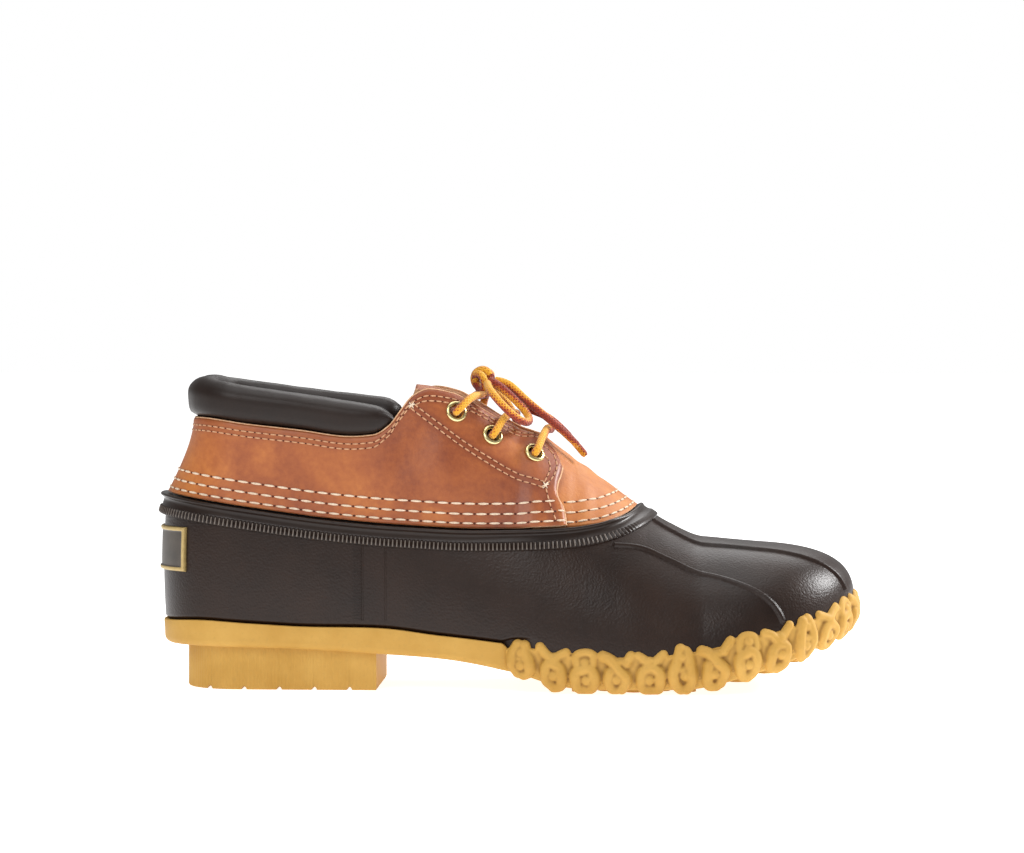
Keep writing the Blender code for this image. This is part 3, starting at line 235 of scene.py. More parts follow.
class Rays:
    # s runs once round: -3 at the toe, the lateral side, 0 at the heel, the medial side, 3 at the toe
    def __init__(self, s):
        s = (np.asarray(s, float) + 3) % 6 - 3
        self.side, place = np.where(s < 0, -1.0, 1.0), np.abs(s)
        self.place = place
        length, width = last["length"], last["ballWidth"]
        heelX, toeX = last["heelSpine"] * length, last["toeSpine"] * length
        self.x = heelX + (toeX - heelX) * np.clip(place - 1, 0, 1)
        at = self.x / length
        self.y = crownShare(at) * width
        heelTurn, toeTurn = np.clip(place, 0, 1) * quarterTurn, np.clip(3 - place, 0, 1) * quarterTurn
        heel, toe = place < 1, place > 2
        self.dx = np.where(heel, -np.cos(heelTurn), np.where(toe, np.cos(toeTurn), 0.0))
        self.dy = self.side * np.where(heel, np.sin(heelTurn), np.where(toe, np.sin(toeTurn), 1.0))
        half = np.where(self.side < 0, lateralHalf(at), medialHalf(at)) * width
        wide = half - self.side * self.y
        toePower = np.where(self.side < 0, last["toePowers"][0], last["toePowers"][1])
        heelReach = roundReach(heelTurn, heelX, half, last["heelPower"])
        toeReach = roundReach(toeTurn, length - last["chainStands"] - toeX, wide, toePower)
        self.reach = np.where(heel, heelReach, np.where(toe, toeReach, wide))
        self.edgeX = self.x + self.reach * self.dx
        self.foot = floorHeight(self.edgeX) + last["fitGap"]
        self.power = archPower(at)
        self.power = self.power + (last["tipArchPower"] - self.power) * ease(place - 2)
        front = last["sideLean"] * (1 - ease((at - 0.30) / 0.15))
        back = last["sideLean"] + (last["backLean"] - last["sideLean"]) * np.cos(place * quarterTurn) ** 2
        self.lean = np.where(heel, back, front)

    def plan(self, reach):
        return self.x + reach * self.dx, self.y + reach * self.dy

    def atAngle(self, angle):
        out = np.maximum(np.cos(angle), 0.0) ** (2 / self.power)
        up = np.maximum(np.sin(angle), 0.0) ** (2 / self.power)
        reach = self.reach * out
        top = ridgeHeight(self.x + reach * np.maximum(self.dx, 0.0))
        height = self.foot + (top - self.foot) * up
        rim = rimHeight(self.x + reach * self.dx)
        wall = np.clip((height - self.foot) / (rim - self.foot), 0.0, 1.0)
        above = np.clip((height - rim) / (last["toplineHeight"] - rim), 0.0, 1.0)
        bend = 1 - (1 - above) ** 1.5
        return reach + out * (last["sideBulge"] * np.sin(math.pi * wall) - self.lean * bend), height

    def surface(self, angle):
        reach, height = self.atAngle(angle)
        x, y = self.plan(reach)
        return np.stack([x, y, height], -1)

    def angleOf(self, line, shift=0.0):  # where the surface crosses a line of side view
        def over(angle):
            reach, height = self.atAngle(angle)
            return height - line(self.x + reach * self.dx) - shift

        low, high = np.zeros_like(self.x), np.full_like(self.x, quarterTurn)
        never, always = over(high) < 0, over(low) > 0
        low, high = narrowed(low, high, lambda angle: ~(over(angle) > 0), 34)
        return np.where(never, quarterTurn, np.where(always, 0.0, (low + high) / 2))


def normalAt(s, angle):
    small = 1e-3
    place = np.abs((np.asarray(s) + 3) % 6 - 3)
    along = Rays(s + small).surface(angle) - Rays(s - small).surface(angle)
    rays = Rays(s)
    low, high = np.maximum(angle - small, 0), np.minimum(angle + small, quarterTurn)
    normal = np.cross(rays.surface(high) - rays.surface(low), along)
    crown = angle > quarterTurn - small
    normal[..., 1] = np.where(crown, 0.0, normal[..., 1])
    slope = (ridgeHeight(rays.x + small) - ridgeHeight(rays.x)) / small
    flat = np.stack([-slope, np.zeros_like(slope), np.ones_like(slope)], -1)
    normal = np.where((crown & (place >= 1))[..., None], flat, normal)
    return normal / np.maximum(np.linalg.norm(normal, axis=-1, keepdims=True), 1e-12)


def onLast(s, angle, out=0.0):  # a point on the last, or standing out from it
    point = Rays(s).surface(angle) + normalAt(s, angle) * np.asarray(out)[..., None]
    point[..., 0] -= last["originFromBack"]
    return point


def placeOf(x):
    return 1 + (x / last["length"] - last["heelSpine"]) / (last["toeSpine"] - last["heelSpine"])


def perColumn(s, work):  # works out something once for each column of a grid
    one, back = np.unique(s, return_inverse=True)
    found = work(one)
    return tuple(f[back] for f in found) if isinstance(found, tuple) else found[back]


def crossing(shift=0.0):  # where the rim meets the crown in front of the instep
    instep, toe = 0.6 * last["length"], last["toeSpine"] * last["length"]
    ends = narrowed(instep, toe, lambda x: ridgeHeight(x) > rimHeight(x) + shift, 40)
    return float(sum(ends)) / 2


def closeUp(front, deep, count):  # places that close up towards a front where a line turns
    return placeOf(front - deep * (np.arange(count, -1, -1) / count) ** 2)


def bumps(points, size, seed=0.0):
    return np.array([noise.noise(Vector(p) / size + Vector((seed, seed, seed))) for p in points])


def throughPoints(points, count, closed=False):  # evenly spaced points on a smooth curve
    points = np.array(points, float)
    if closed:
        ends = np.vstack([points[-1:], points, points[:2]])
    else:
        ends = np.vstack([2 * points[0] - points[1], points, 2 * points[-1] - points[-2]])
    dense = []
    for a, b, c, d in zip(ends, ends[1:], ends[2:], ends[3:]):
        t = np.arange(0, 1, 1 / 12)[:, None]
        square, cube = 2 * a - 5 * b + 4 * c - d, 3 * b - a - 3 * c + d
        dense.append(0.5 * (2 * b + (c - a) * t + square * t * t + cube * t ** 3))
    dense = np.vstack(dense + [points[:1] if closed else points[-1:]])
    run = runOf(dense)
    return pointsAt(np.linspace(0, run[-1], count), run, dense)


def newObject(name, mesh, looks, smoothAngle=50):
    data = bpy.data.meshes.new(name)
    mesh.to_mesh(data)
    mesh.free()
    data.shade_smooth()
    data.set_sharp_from_angle(angle=math.radians(smoothAngle))
    piece = bpy.data.objects.new(name, data)
    bpy.context.scene.collection.objects.link(piece)
    for look in looks if isinstance(looks, (list, tuple)) else [looks]:
        data.materials.append(look)
    return piece


def gridMesh(across, up, place, uvScale=(1.0, 1.0)):  # a grid whose points are placed by place(u, v)
    mesh = bmesh.new()
    uvLayer = mesh.loops.layers.uv.new("UVMap")
    bmesh.ops.create_grid(mesh, x_segments=across, y_segments=up, size=0.5)
    share = np.array([vert.co[:2] for vert in mesh.verts]) + 0.5
    share = np.round(share * (across, up)) / (across, up)
    mesh.verts.index_update()
    for face in mesh.faces:
        for loop in face.loops:
            u, v = share[loop.vert.index]
            loop[uvLayer].uv = (u * uvScale[0], v * uvScale[1])
    for vert, point in zip(mesh.verts, place(share[:, 0], share[:, 1])):
        vert.co = point
    bmesh.ops.remove_doubles(mesh, verts=mesh.verts, dist=2e-6)
    return mesh


def facingOut(mesh):  # turns an open sheet so that its faces point away from its middle
    mesh.normal_update()
    middle = sum((vert.co for vert in mesh.verts), Vector()) / len(mesh.verts)
    facing = sum((f.calc_center_median() - middle).dot(f.normal) * f.calc_area() for f in mesh.faces)
    rising = sum(f.normal.z * f.calc_area() for f in mesh.faces)
    if facing + 0.01 * rising < 0:
        bmesh.ops.reverse_faces(mesh, faces=mesh.faces)
    return mesh


def thicken(piece, thickness, inner=0):  # inner is the look of the inner face and the edge
    wall = piece.modifiers.new("wall", "SOLIDIFY")
    wall.thickness = thickness
    wall.offset = -1
    wall.use_even_offset = True
    wall.material_offset = wall.material_offset_rim = inner
    return piece


def merge(mesh, other):  # adds one bmesh to another
    data = bpy.data.meshes.new("part")
    other.to_mesh(data)
    other.free()
    mesh.from_mesh(data)
    bpy.data.meshes.remove(data)


def capped(mesh):  # closes the open ends of a tube or strip
    bmesh.ops.holes_fill(mesh, edges=[e for e in mesh.edges if e.is_boundary])
    bmesh.ops.recalc_face_normals(mesh, faces=mesh.faces)
    return mesh


def tubeMesh(points, radius, sides, mesh=None):  # a tube along a path, with its own UV map
    points = [Vector(p) for p in points]
    final = len(points) - 1
    radii = np.broadcast_to(np.asarray(radius, float), (final + 1,))
    tangents = [(points[min(i + 1, final)] - points[max(i - 1, 0)]).normalized() for i in range(final + 1)]
    side = tangents[0].orthogonal().normalized()
    rings = []
    for point, tangent, reach in zip(points, tangents, radii):
        side = (side - tangent * side.dot(tangent)).normalized()
        rings.append((point, side.copy(), tangent.cross(side), reach))

    def place(u, v):
        spots = []
        for turn, i in zip(2 * math.pi * u, cell(v, final)):
            point, side, up, reach = rings[i]
            spots.append(point + (side * math.cos(turn) + up * math.sin(turn)) * reach)
        return spots

    run = sum((b - a).length for a, b in zip(points, points[1:]))
    made = capped(gridMesh(sides, final, place, (1.0, run / mm)))
    if mesh is None:
        return made
    merge(mesh, made)
    return mesh


def sweep(path, outward, out, up, closed=False, uvScale=(1.0, 1.0)):  # a section carried along a path
    count = len(path)
    tangent = np.roll(path, -1, 0) - np.roll(path, 1, 0)
    if not closed:
        tangent[0], tangent[-1] = path[1] - path[0], path[-1] - path[-2]
    across = unit(np.cross(outward, unit(tangent)))
    rounds = count if closed else count - 1
    out = np.broadcast_to(out.reshape(len(up), -1), (len(up), count))

    def place(u, v):
        i, j = cell(u, rounds) % count, cell(v, len(up) - 1)
        return path[i] + outward[i] * out[j, i][:, None] + across[i] * up[j][:, None]

    mesh = gridMesh(rounds, len(up) - 1, place, uvScale)
    if not closed:
        return capped(mesh)
    bmesh.ops.recalc_face_normals(mesh, faces=mesh.faces)
    return mesh


def settle(piece):  # applies the modifiers that a later step needs done
    deps = bpy.context.evaluated_depsgraph_get()
    data = bpy.data.meshes.new_from_object(piece.evaluated_get(deps))
    piece.modifiers.clear()
    piece.data = data


def cutAway(piece, cutter):
    cut = piece.modifiers.new("cut", "BOOLEAN")
    cut.operation, cut.object, cut.solver = "DIFFERENCE", cutter, "EXACT"
    settle(piece)
    bpy.data.objects.remove(cutter)


def standing(point, normal):  # moves what was made at the origin to a point, with +Z along the normal
    turn = Vector((0, 0, 1)).rotation_difference(Vector(normal)).to_matrix().to_4x4()
    return Matrix.Translation(point) @ turn


# Materials

def colour(hexCode):
    parts = [int(hexCode[i:i + 2], 16) / 255 for i in (1, 3, 5)]
    return tuple(p / 12.92 if p <= 0.04045 else ((p + 0.055) / 1.055) ** 2.4 for p in parts) + (1.0,)


def join(tree, node, inputs):  # gives a node its values; another node stands for its first output
    for key, value in inputs.items():
        value = value.outputs[0] if isinstance(value, bpy.types.Node) else value
        if isinstance(value, bpy.types.NodeSocket):
            tree.links.new(value, node.inputs[key])
        else:
            node.inputs[key].default_value = value


def add(tree, kind, inputs=None, **settings):
    made = tree.nodes.new("ShaderNode" + kind)
    for key, value in settings.items():
        setattr(made, key, value)
    join(tree, made, inputs or {})
    return made


def startLook(name, shader):
    look = bpy.data.materials.new(name)
    look.use_nodes = True
    tree = look.node_tree
    surface = tree.nodes["Principled BSDF"]
    join(tree, surface, shader)
    return look, tree, surface, add(tree, "TexCoord")


def ramp(tree, source, stops):
    made = add(tree, "ValToRGB", {"Fac": source})
    bar = made.color_ramp
    while len(bar.elements) < len(stops):
        bar.elements.new(0.5)
    for element, (at, hexCode) in zip(bar.elements, stops):
        element.position, element.color = at, colour(hexCode)
    return made


def per(size):  # texture scale of a feature this many millimetres wide, on Object coordinates
    return 1000 / size


hide = {"clouds": 34, "mottle": 2.2, "mottling": 0.22, "folds": 6, "folding": 1.6}  # sizes in millimetres


def leatherLook(name, stops, grain, rough, marks=None, depth=0.10, shine=0.5):
    # Waxed full-grain cowhide: clouded where the wax has moved, fine pebble grain, a soft sheen.
    look, tree, surface, where = startLook(name, {
        "IOR": 1.5, "Specular IOR Level": shine, "Coat Weight": 0.12 * shine, "Coat Roughness": 0.35})
    at = where.outputs["Object"]
    cloud = add(tree, "TexNoise", {"Vector": at, "Scale": per(hide["clouds"]), "Detail": 4.0,
                                   "Roughness": 0.55, "Distortion": 0.6})
    mottle = add(tree, "TexNoise", {"Vector": at, "Scale": per(hide["mottle"]), "Detail": 3.0,
                                    "Roughness": 0.6})
    mixed = add(tree, "Math", {0: mottle, 1: hide["mottling"], 2: cloud}, operation="MULTIPLY_ADD")
    centred = add(tree, "Math", {0: mixed, 1: hide["mottling"] / 2}, operation="SUBTRACT")
    base = ramp(tree, centred, stops)
    if marks:
        shade = add(tree, "Attribute", attribute_name=marks)
        base = add(tree, "Mix", {0: shade.outputs["Fac"], 6: base, 7: colour(stops[0][1])},
                   data_type="RGBA", clamp_factor=True).outputs[2]
    pebbles = add(tree, "TexVoronoi", {"Vector": at, "Scale": per(grain), "Randomness": 1.0})
    folds = add(tree, "TexNoise", {"Vector": at, "Scale": per(hide["folds"]), "Detail": 5.0,
                                   "Roughness": 0.62})
    relief = add(tree, "Math", {0: folds, 1: hide["folding"], 2: pebbles}, operation="MULTIPLY_ADD")
    bump = add(tree, "Bump", {"Height": relief, "Strength": 0.55, "Distance": depth * mm})
    gloss = add(tree, "MapRange", {"Value": cloud, "To Min": rough[0], "To Max": rough[1]})
    join(tree, surface, {"Base Color": base, "Normal": bump, "Roughness": gloss})
    return look


moulded = {"bloom": 24, "dust": 1.6, "wrinkle": 1.3, "wrinkling": 0.5}  # mm; wrinkle in grains


def rubberLook(name, stops, grain, rough, depth, dust=None, crease=None):
    # Moulded rubber: the mould's texture in the relief, faint blooming in the colour.
    look, tree, surface, where = startLook(name, {"IOR": 1.52, "Specular IOR Level": 0.27})
    at = where.outputs["Object"]
    bloom = add(tree, "TexNoise", {"Vector": at, "Scale": per(moulded["bloom"]), "Detail": 5.0,
                                   "Roughness": 0.6})
    base = ramp(tree, bloom, stops)
    if dust:
        specks = add(tree, "TexNoise", {"Vector": at, "Scale": per(moulded["dust"]), "Detail": 3.0,
                                        "Roughness": 0.7})
        spots = add(tree, "MapRange", {"Value": specks, "From Min": 0.55, "From Max": 0.75, "To Max": 0.5})
        base = add(tree, "Mix", {0: spots, 6: base, 7: colour(dust)}, data_type="RGBA").outputs[2]
        # painted shade: the crease attribute darkens the hollows of the chain tread towards the crease colour
        marks = add(tree, "Attribute", attribute_name="crease")
        base = add(tree, "Mix", {0: marks.outputs["Fac"], 6: base, 7: colour(crease)},
                   data_type="RGBA", clamp_factor=True).outputs[2]
    cells = add(tree, "TexVoronoi", {"Vector": at, "Scale": per(grain), "Randomness": 1.0},
                feature="SMOOTH_F1")
    wrinkle = add(tree, "TexNoise", {"Vector": at, "Scale": per(grain * moulded["wrinkle"]), "Detail": 3.0,
                                     "Roughness": 0.6})
    relief = add(tree, "Math", {0: wrinkle, 1: moulded["wrinkling"], 2: cells}, operation="MULTIPLY_ADD")
    bump = add(tree, "Bump", {"Height": relief, "Strength": 0.7, "Distance": depth * mm})
    gloss = add(tree, "MapRange", {"Value": bloom, "To Min": rough[0], "To Max": rough[1]})
    join(tree, surface, {"Base Color": base, "Normal": bump, "Roughness": gloss})
    return look


braiding = {"twist": 0.013, "yarn": 1.5, "yarns": 6.0, "fleck": 1.3, "furrow": 0.55, "flecks": 1.5}


def laceLook(name):
    # Braided cotton over a core: gold yarns on one side, red-brown on the other, turning slowly.
    look, tree, surface, where = startLook(name, {
        "Roughness": 0.78, "Sheen Weight": 0.25, "Sheen Roughness": 0.5})
    parts = add(tree, "SeparateXYZ", {0: where.outputs["UV"]})
    turn, run = parts.outputs["X"], parts.outputs["Y"]
    twist = add(tree, "Math", {0: run, 1: braiding["twist"], 2: turn}, operation="MULTIPLY_ADD")
    angle = add(tree, "Math", {0: twist, 1: 2 * math.pi}, operation="MULTIPLY")
    sides = add(tree, "Math", {0: angle}, operation="SINE")
    yarnRun = add(tree, "Math", {0: run, 1: 1 / braiding["yarn"]}, operation="MULTIPLY")
    waves = []
    for yarns in (braiding["yarns"], -braiding["yarns"]):  # one set turns each way
        yarn = add(tree, "Math", {0: turn, 1: yarns, 2: yarnRun}, operation="MULTIPLY_ADD")
        phase = add(tree, "Math", {0: yarn, 1: 2 * math.pi}, operation="MULTIPLY")
        waves.append(add(tree, "Math", {0: phase}, operation="SINE"))
    braid = add(tree, "Math", {0: waves[0], 1: waves[1]}, operation="MAXIMUM")
    fleck = add(tree, "TexNoise", {"Vector": where.outputs["Object"], "Scale": per(braiding["fleck"]),
                                   "Detail": 2.0})
    tone = add(tree, "Math", {0: braid, 1: braiding["furrow"], 2: sides}, operation="MULTIPLY_ADD")
    tone = add(tree, "Math", {0: fleck, 1: braiding["flecks"], 2: tone}, operation="MULTIPLY_ADD")
    share = add(tree, "MapRange", {"Value": tone, "From Min": -0.35, "From Max": 2.1})
    base = ramp(tree, share, [(0.18, "#7A2008"), (0.42, "#A63A10"), (0.53, "#C97A14"), (0.82, "#DFA01A")])
    bump = add(tree, "Bump", {"Height": braid, "Strength": 0.6, "Distance": 0.22 * mm})
    join(tree, surface, {"Base Color": base, "Normal": bump})
    return look


def plainLook(name, hexCodes, roughness, spot, metallic=0.0, depth=0.05):
    # Small parts: one finish with a faint variation, so that no face is a single flat colour.
    look, tree, surface, where = startLook(name, {"Roughness": roughness, "Metallic": metallic})
    cloud = add(tree, "TexNoise", {"Vector": where.outputs["Object"], "Scale": per(spot), "Detail": 3.0})
    base = ramp(tree, cloud, list(zip((0.3, 0.7), hexCodes)))
    bump = add(tree, "Bump", {"Height": cloud, "Strength": 0.5, "Distance": depth * mm})
    join(tree, surface, {"Base Color": base, "Normal": bump})
    return look


# highlightsTo: how far back along the boot the painted highlights on the crests reach
knurl = {"rows": (12.2, 15.8), "highlightsTo": 0.141, "wave": 0.42 * mm, "end": 0.1900, "blend": 10.0 * mm}


def paintCrestHighlights(look):  # painted highlights: the crests of the knurled band are made paler, as where light catches each tooth; its UV map counts teeth and rows
    tree = look.node_tree
    surface = next(n for n in tree.nodes if n.type == "BSDF_PRINCIPLED")
    base = surface.inputs["Base Color"].links[0].from_socket
    where = add(tree, "TexCoord")
    parts = add(tree, "SeparateXYZ", {0: where.outputs["UV"]})
    spot = add(tree, "SeparateXYZ", {0: where.outputs["Object"]})
    turn = add(tree, "Math", {0: parts.outputs["X"], 1: 2 * math.pi}, operation="MULTIPLY")
    crest = add(tree, "Math", {0: turn}, operation="COSINE")
    share = add(tree, "MapRange", {"Value": crest, "From Min": 0.35, "From Max": 0.75, "To Max": 0.62})
    fades = (  # what fades the painted highlights in or out, where, and which way
        (parts.outputs["Y"], knurl["rows"][0], 0.6, 0.0),
        (parts.outputs["Y"], knurl["rows"][1] - 0.6, 0.6, 1.0),
        (spot.outputs["X"], knurl["highlightsTo"] - 0.010, 0.010, 1.0),
    )
    for source, start, wide, before in fades:
        fade = add(tree, "MapRange", {"Value": source, "From Min": start, "From Max": start + wide,
                                      "To Min": before, "To Max": 1.0 - before})
        share = add(tree, "Math", {0: share, 1: fade}, operation="MULTIPLY")
    # the pale grey mixed onto the crests is a painted highlight
    mixed = add(tree, "Mix", {0: share, 6: base, 7: colour("#7A7068")}, data_type="RGBA")
    join(tree, surface, {"Base Color": mixed.outputs[2]})


tanStops = [(0.30, "#7A3819"), (0.48, "#985023"), (0.62, "#AC632B"), (0.78, "#BC7534")]
tanLeather = leatherLook("waxed tan leather", tanStops, 1.1, (0.40, 0.55), marks="seamShade")
vampStops = [(0.28, "#985224"), (0.50, "#B06A31"), (0.70, "#BE7C3E")]
vampLeather = leatherLook("lighter waxed tan leather", vampStops, 1.1, (0.42, 0.56))
tongueLeather = leatherLook("soft tongue leather", [(0.30, "#7A3F22"), (0.70, "#A9653C")], 0.9, (0.6, 0.75))
collarLeather = leatherLook("smooth dark collar leather", [(0.30, "#150C08"), (0.70, "#20140E")], 1.4,
                            (0.38, 0.48), depth=0.04, shine=0.26)
brownRubber = rubberLook("grained brown moulded rubber", [(0.30, "#1B0F09"), (0.70, "#26170F")], 0.85,
                         (0.34, 0.42), 0.15)
rimRubber = rubberLook("smooth brown moulded rubber", [(0.30, "#1A0F0A"), (0.70, "#251810")], 2.5,
                       (0.30, 0.38), 0.02)
# painted highlights on the crests of the knurled band
paintCrestHighlights(rimRubber)
# the crease colour is painted shade for the hollows between the chain's strands
gumRubber = rubberLook("gum rubber", [(0.30, "#B08437"), (0.70, "#C2984C")], 2.4, (0.55, 0.68), 0.06,
                       dust="#A98542", crease="#7A5520")
cottonLace = laceLook("braided cotton lace")
fleshLeather = plainLook("leather cut edge and flesh side", ("#D8B08C", "#BF8F68"), 0.9, 1.5, depth=0.1)
felt = plainLook("pressed felt insole", ("#8A7860", "#A8957A"), 0.95, 1.2, depth=0.25)
brass = plainLook("polished brass", ("#CDBB82", "#DCCB98"), 0.24, 3.0, metallic=1.0, depth=0.01)
thread = plainLook("waxed thread", ("#E0CDB6", "#C9B095"), 0.7, 0.8, depth=0.06)
fineThread = plainLook("fine waxed thread", ("#C79A76", "#B4825C"), 0.7, 0.8, depth=0.04)
# painted shade: the dark beads at the needle holes stand for the shadow inside each hole
needleHoleShade = plainLook("painted shade in needle hole", ("#3E1A10", "#5A2A18"), 0.9, 1.0)
badgeRubber = plainLook("dark badge field", ("#3A342E", "#4A423A"), 0.5, 6.0, depth=0.03)
badgeGold = plainLook("gold badge border", ("#A9905A", "#C0A66C"), 0.42, 3.0, metallic=0.25, depth=0.03)
report("materials made")


# Laces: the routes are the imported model's
lace = {"diameter": 3.4 * mm, "gap": 0.9 * mm, "mouthGap": 1.4 * mm, "dome": 1.0 * mm, "rise": 0.6 * mm,
        "lean": (0.0100, 0.0080, 0.0046), "knot": (0.0110, 0.0120, 0.0100), "tuck": 0.45,
        "inside": 5.5 * mm, "under": 1.0 * mm, "mouthShare": 0.62}
eyelets = {"seats": ((0.4213, 0.0082), (0.4723, 0.0108), (0.5290, 0.0135)), "radius": 4.7 * mm,
           "bore": 2.7 * mm, "barrel": 3.2 * mm, "leather": 1.8 * mm, "hole": 3.4 * mm}
laceRoutes = {
    "lace_end_upper": ((0.1475, -0.0030, 0.1300), (0.1535, -0.0040, 0.1240), (0.1600, -0.0052, 0.1186),
                       (0.1680, -0.0065, 0.1120), (0.1778, -0.0080, 0.1030)),
    "lace_end_lower": ((0.1460, 0.0030, 0.1265), (0.1545, 0.0020, 0.1190), (0.1640, 0.0010, 0.1156),
                       (0.1730, 0.0000, 0.1075), (0.1808, -0.0010, 0.0985)),
    "lace_loop_near": (
        (0.1425, -0.0068, 0.1298),
        (0.1475, -0.0061, 0.1256),
        (0.1529, -0.0060, 0.1203),
        (0.1565, -0.0080, 0.1160),
        (0.1572, -0.0128, 0.1131),
        (0.1544, -0.0182, 0.1135),
        (0.1498, -0.0204, 0.1169),
        (0.1457, -0.0205, 0.1209),
        (0.1424, -0.0183, 0.1245),
        (0.1400, -0.0140, 0.1272),
    ),
    "lace_loop_far": (
        (0.1400, 0.0095, 0.1278),
        (0.1434, 0.0165, 0.1242),
        (0.1472, 0.0230, 0.1190),
        (0.1501, 0.0274, 0.1127),
        (0.1508, 0.0301, 0.1062),
        (0.1485, 0.0315, 0.1007),
        (0.1428, 0.0320, 0.0984),
        (0.1371, 0.0315, 0.1007),
        (0.1348, 0.0301, 0.1062),
        (0.1345, 0.0276, 0.1130),
        (0.1352, 0.0232, 0.1200),
        (0.1380, 0.0170, 0.1268),
    ),
}
overlap = {"lift": 1.7 * mm, "start": 0.5067, "blend": 8.0 * mm}


def quarterOffset(x):
    return overlap["lift"] * ease((x - overlap["start"] * last["length"]) / overlap["blend"])


def eyeletSeat(side, number):
    at, below = eyelets["seats"][number]
    x = at * last["length"]
    s = np.array([side * placeOf(x)])
    edge = Rays(s).angleOf(edgeHeight)
    lift = quarterOffset(x)
    top = onLast(s, edge, lift)
    low, _ = narrowed(np.zeros(1), edge,
                      lambda angle: np.linalg.norm(onLast(s, angle, lift) - top) > below, 30)
    return onLast(s, low, lift)[0], normalAt(s, low)[0]


def overEdge(side, x):
    s = np.array([side * placeOf(x)])
    return onLast(s, Rays(s).angleOf(edgeHeight), quarterOffset(x) + lace["diameter"] / 2 + lace["gap"])[0]


def laceBar(number):
    x, lean = eyelets["seats"][number][0] * last["length"], lace["lean"][number]
    mouth = (last["fitGap"] + lace["dome"] + lace["mouthGap"] + lace["diameter"] / 2) * lace["mouthShare"]
    (near, nearUp), (far, farUp) = eyeletSeat(-1, number), eyeletSeat(1, number)
    nearEdge, farEdge = overEdge(-1, x + lean / 2), overEdge(1, x + lean / 2)
    middle = (nearEdge + farEdge) / 2 + np.array([lean / 2, 0, lace["rise"]])
    heights = (-lace["inside"], -lace["under"], mouth)  # along each eyelet's own axis
    points = [near + nearUp * h for h in heights] + [nearEdge, middle, farEdge]
    return points + [far + farUp * h for h in heights[::-1]], middle


def knotExit(centre, towards):  # a cord starts inside the knot's wraps
    return centre + (towards - centre) * lace["tuck"]


middles = []
for number in range(3):
    points, middle = laceBar(number)
    middles.append(middle)
    path = throughPoints(points, 70)
    bar = newObject(f"lace_across_{number + 1}", tubeMesh(path, lace["diameter"] / 2, 16), cottonLace)
    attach(bar, "root")
    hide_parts(f"lace_bar_{number + 1}")

knotMiddle = middles[0] + np.array([0, 0, lace["diameter"] / 2 + last["fitGap"] + lace["knot"][2] / 2])
knotMesh = bmesh.new()
wraps = (  # middle of each wrap from the knot's own, its axis, its radius in millimetres, how flat it lies
    ((-1.4, 0.0, -0.2), (0.35, 1.0, 0.15), 4.2, 0.92),
    ((-2.6, -1.8, -1.6), (0.90, 0.5, 0.10), 4.0, 0.85),
    ((-0.8, 2.0, -0.2), (-0.5, 0.9, 0.45), 3.6, 0.90),
)
for shift, axis, radius, flat in wraps:
    axis = Vector(axis).normalized()
    side = axis.orthogonal().normalized()
    up = axis.cross(side)
    middle = Vector(knotMiddle) + Vector(shift) * mm
    circle = []
    for t in np.linspace(0, 2 * math.pi * 1.05, 34):  # a little over one turn, drifting along the axis
        spoke = (side * math.cos(t) + up * math.sin(t) * flat) * radius
        circle.append(middle + spoke * mm + axis * math.sin(t / 2) * 0.8 * mm)
    tubeMesh(circle, lace["diameter"] / 2, 12, knotMesh)
knot = newObject("lace_bow_knot", knotMesh, cottonLace)
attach(knot, "root")
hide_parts("lace_knot")

for name, route in laceRoutes.items():
    points = [np.array(p) - (last["originFromBack"], 0, 0) for p in route]
    loop = name.startswith("lace_loop")
    start = knotExit(knotMiddle, points[0])
    points.insert(0, start)
    if loop:
        points.append(knotExit(knotMiddle, points[-1]))
    path = throughPoints(points, 60 if loop else 40)
    for _ in range(12):  # evens out the bends between the chosen points
        path[1:-1] += (path[:-2] + path[2:] - 2 * path[1:-1]) * 0.3
    radii = np.full(len(path), lace["diameter"] / 2)
    if not loop:  # the tips are dipped and pressed a little thinner
        radii[-9:] *= 0.90
        radii[-1] *= 0.72
    cordPiece = newObject(name + "_cord", tubeMesh(path, radii, 14), cottonLace)
    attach(cordPiece, "root")
    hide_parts(name)
report("laces made")


# Gum sole: smooth band, heel block, chain tread and lugs
sole = {
    "bandStands": 0.8 * mm, "bandRound": 3.0 * mm, "rebate": 1.7 * mm, "stations": (0.495, 0.540),
    "lip": 0.5 * mm, "floorShare": 0.58, "chainStart": 0.4933, "chainRamp": 0.004, "behindChain": 0.3 * mm,
    "chainDrop": 3.0 * mm, "linkPitch": 13.7 * mm,
}
heel = {
    "end": 0.3090, "start": 10.0 * mm, "inset": 4.0 * mm, "chamfer": 0.84 * mm, "rib": 1.5 * mm,
    "ribDeep": 0.13 * mm, "sunk": 0.6 * mm, "grooves": 5, "groovePitch": 15.0 * mm, "grooveHalf": 1.155 * mm,
    "grooveDeep": 1.43 * mm,
}
lug = {
    "pitch": 11.0 * mm, "start": 10.0 * mm, "inside": 8.5 * mm, "outer": 15.0 * mm, "short": 1.6 * mm,
    "foot": 4.3 * mm, "root": 4.6 * mm, "sunk": 0.8 * mm, "wall": 1.9 * mm, "dimple": 1.0 * mm,
}


def rebateAt(x):
    start, end = (at * last["length"] for at in sole["stations"])
    return sole["rebate"] * np.clip((end - x) / (end - start), 0, 1)


def wallBulge(s, height):
    rays = Rays(s)
    angle = rays.angleOf(lambda x: height)
    return np.where(height <= rays.foot, 0.0, rays.atAngle(angle)[0] - rays.reach)


def pairedPlaces(heel, foot, toe):
    return np.concatenate([np.linspace(0, 1, heel, endpoint=False), np.linspace(1, 2, foot, endpoint=False),
                           np.linspace(2, 3, toe + 1)])


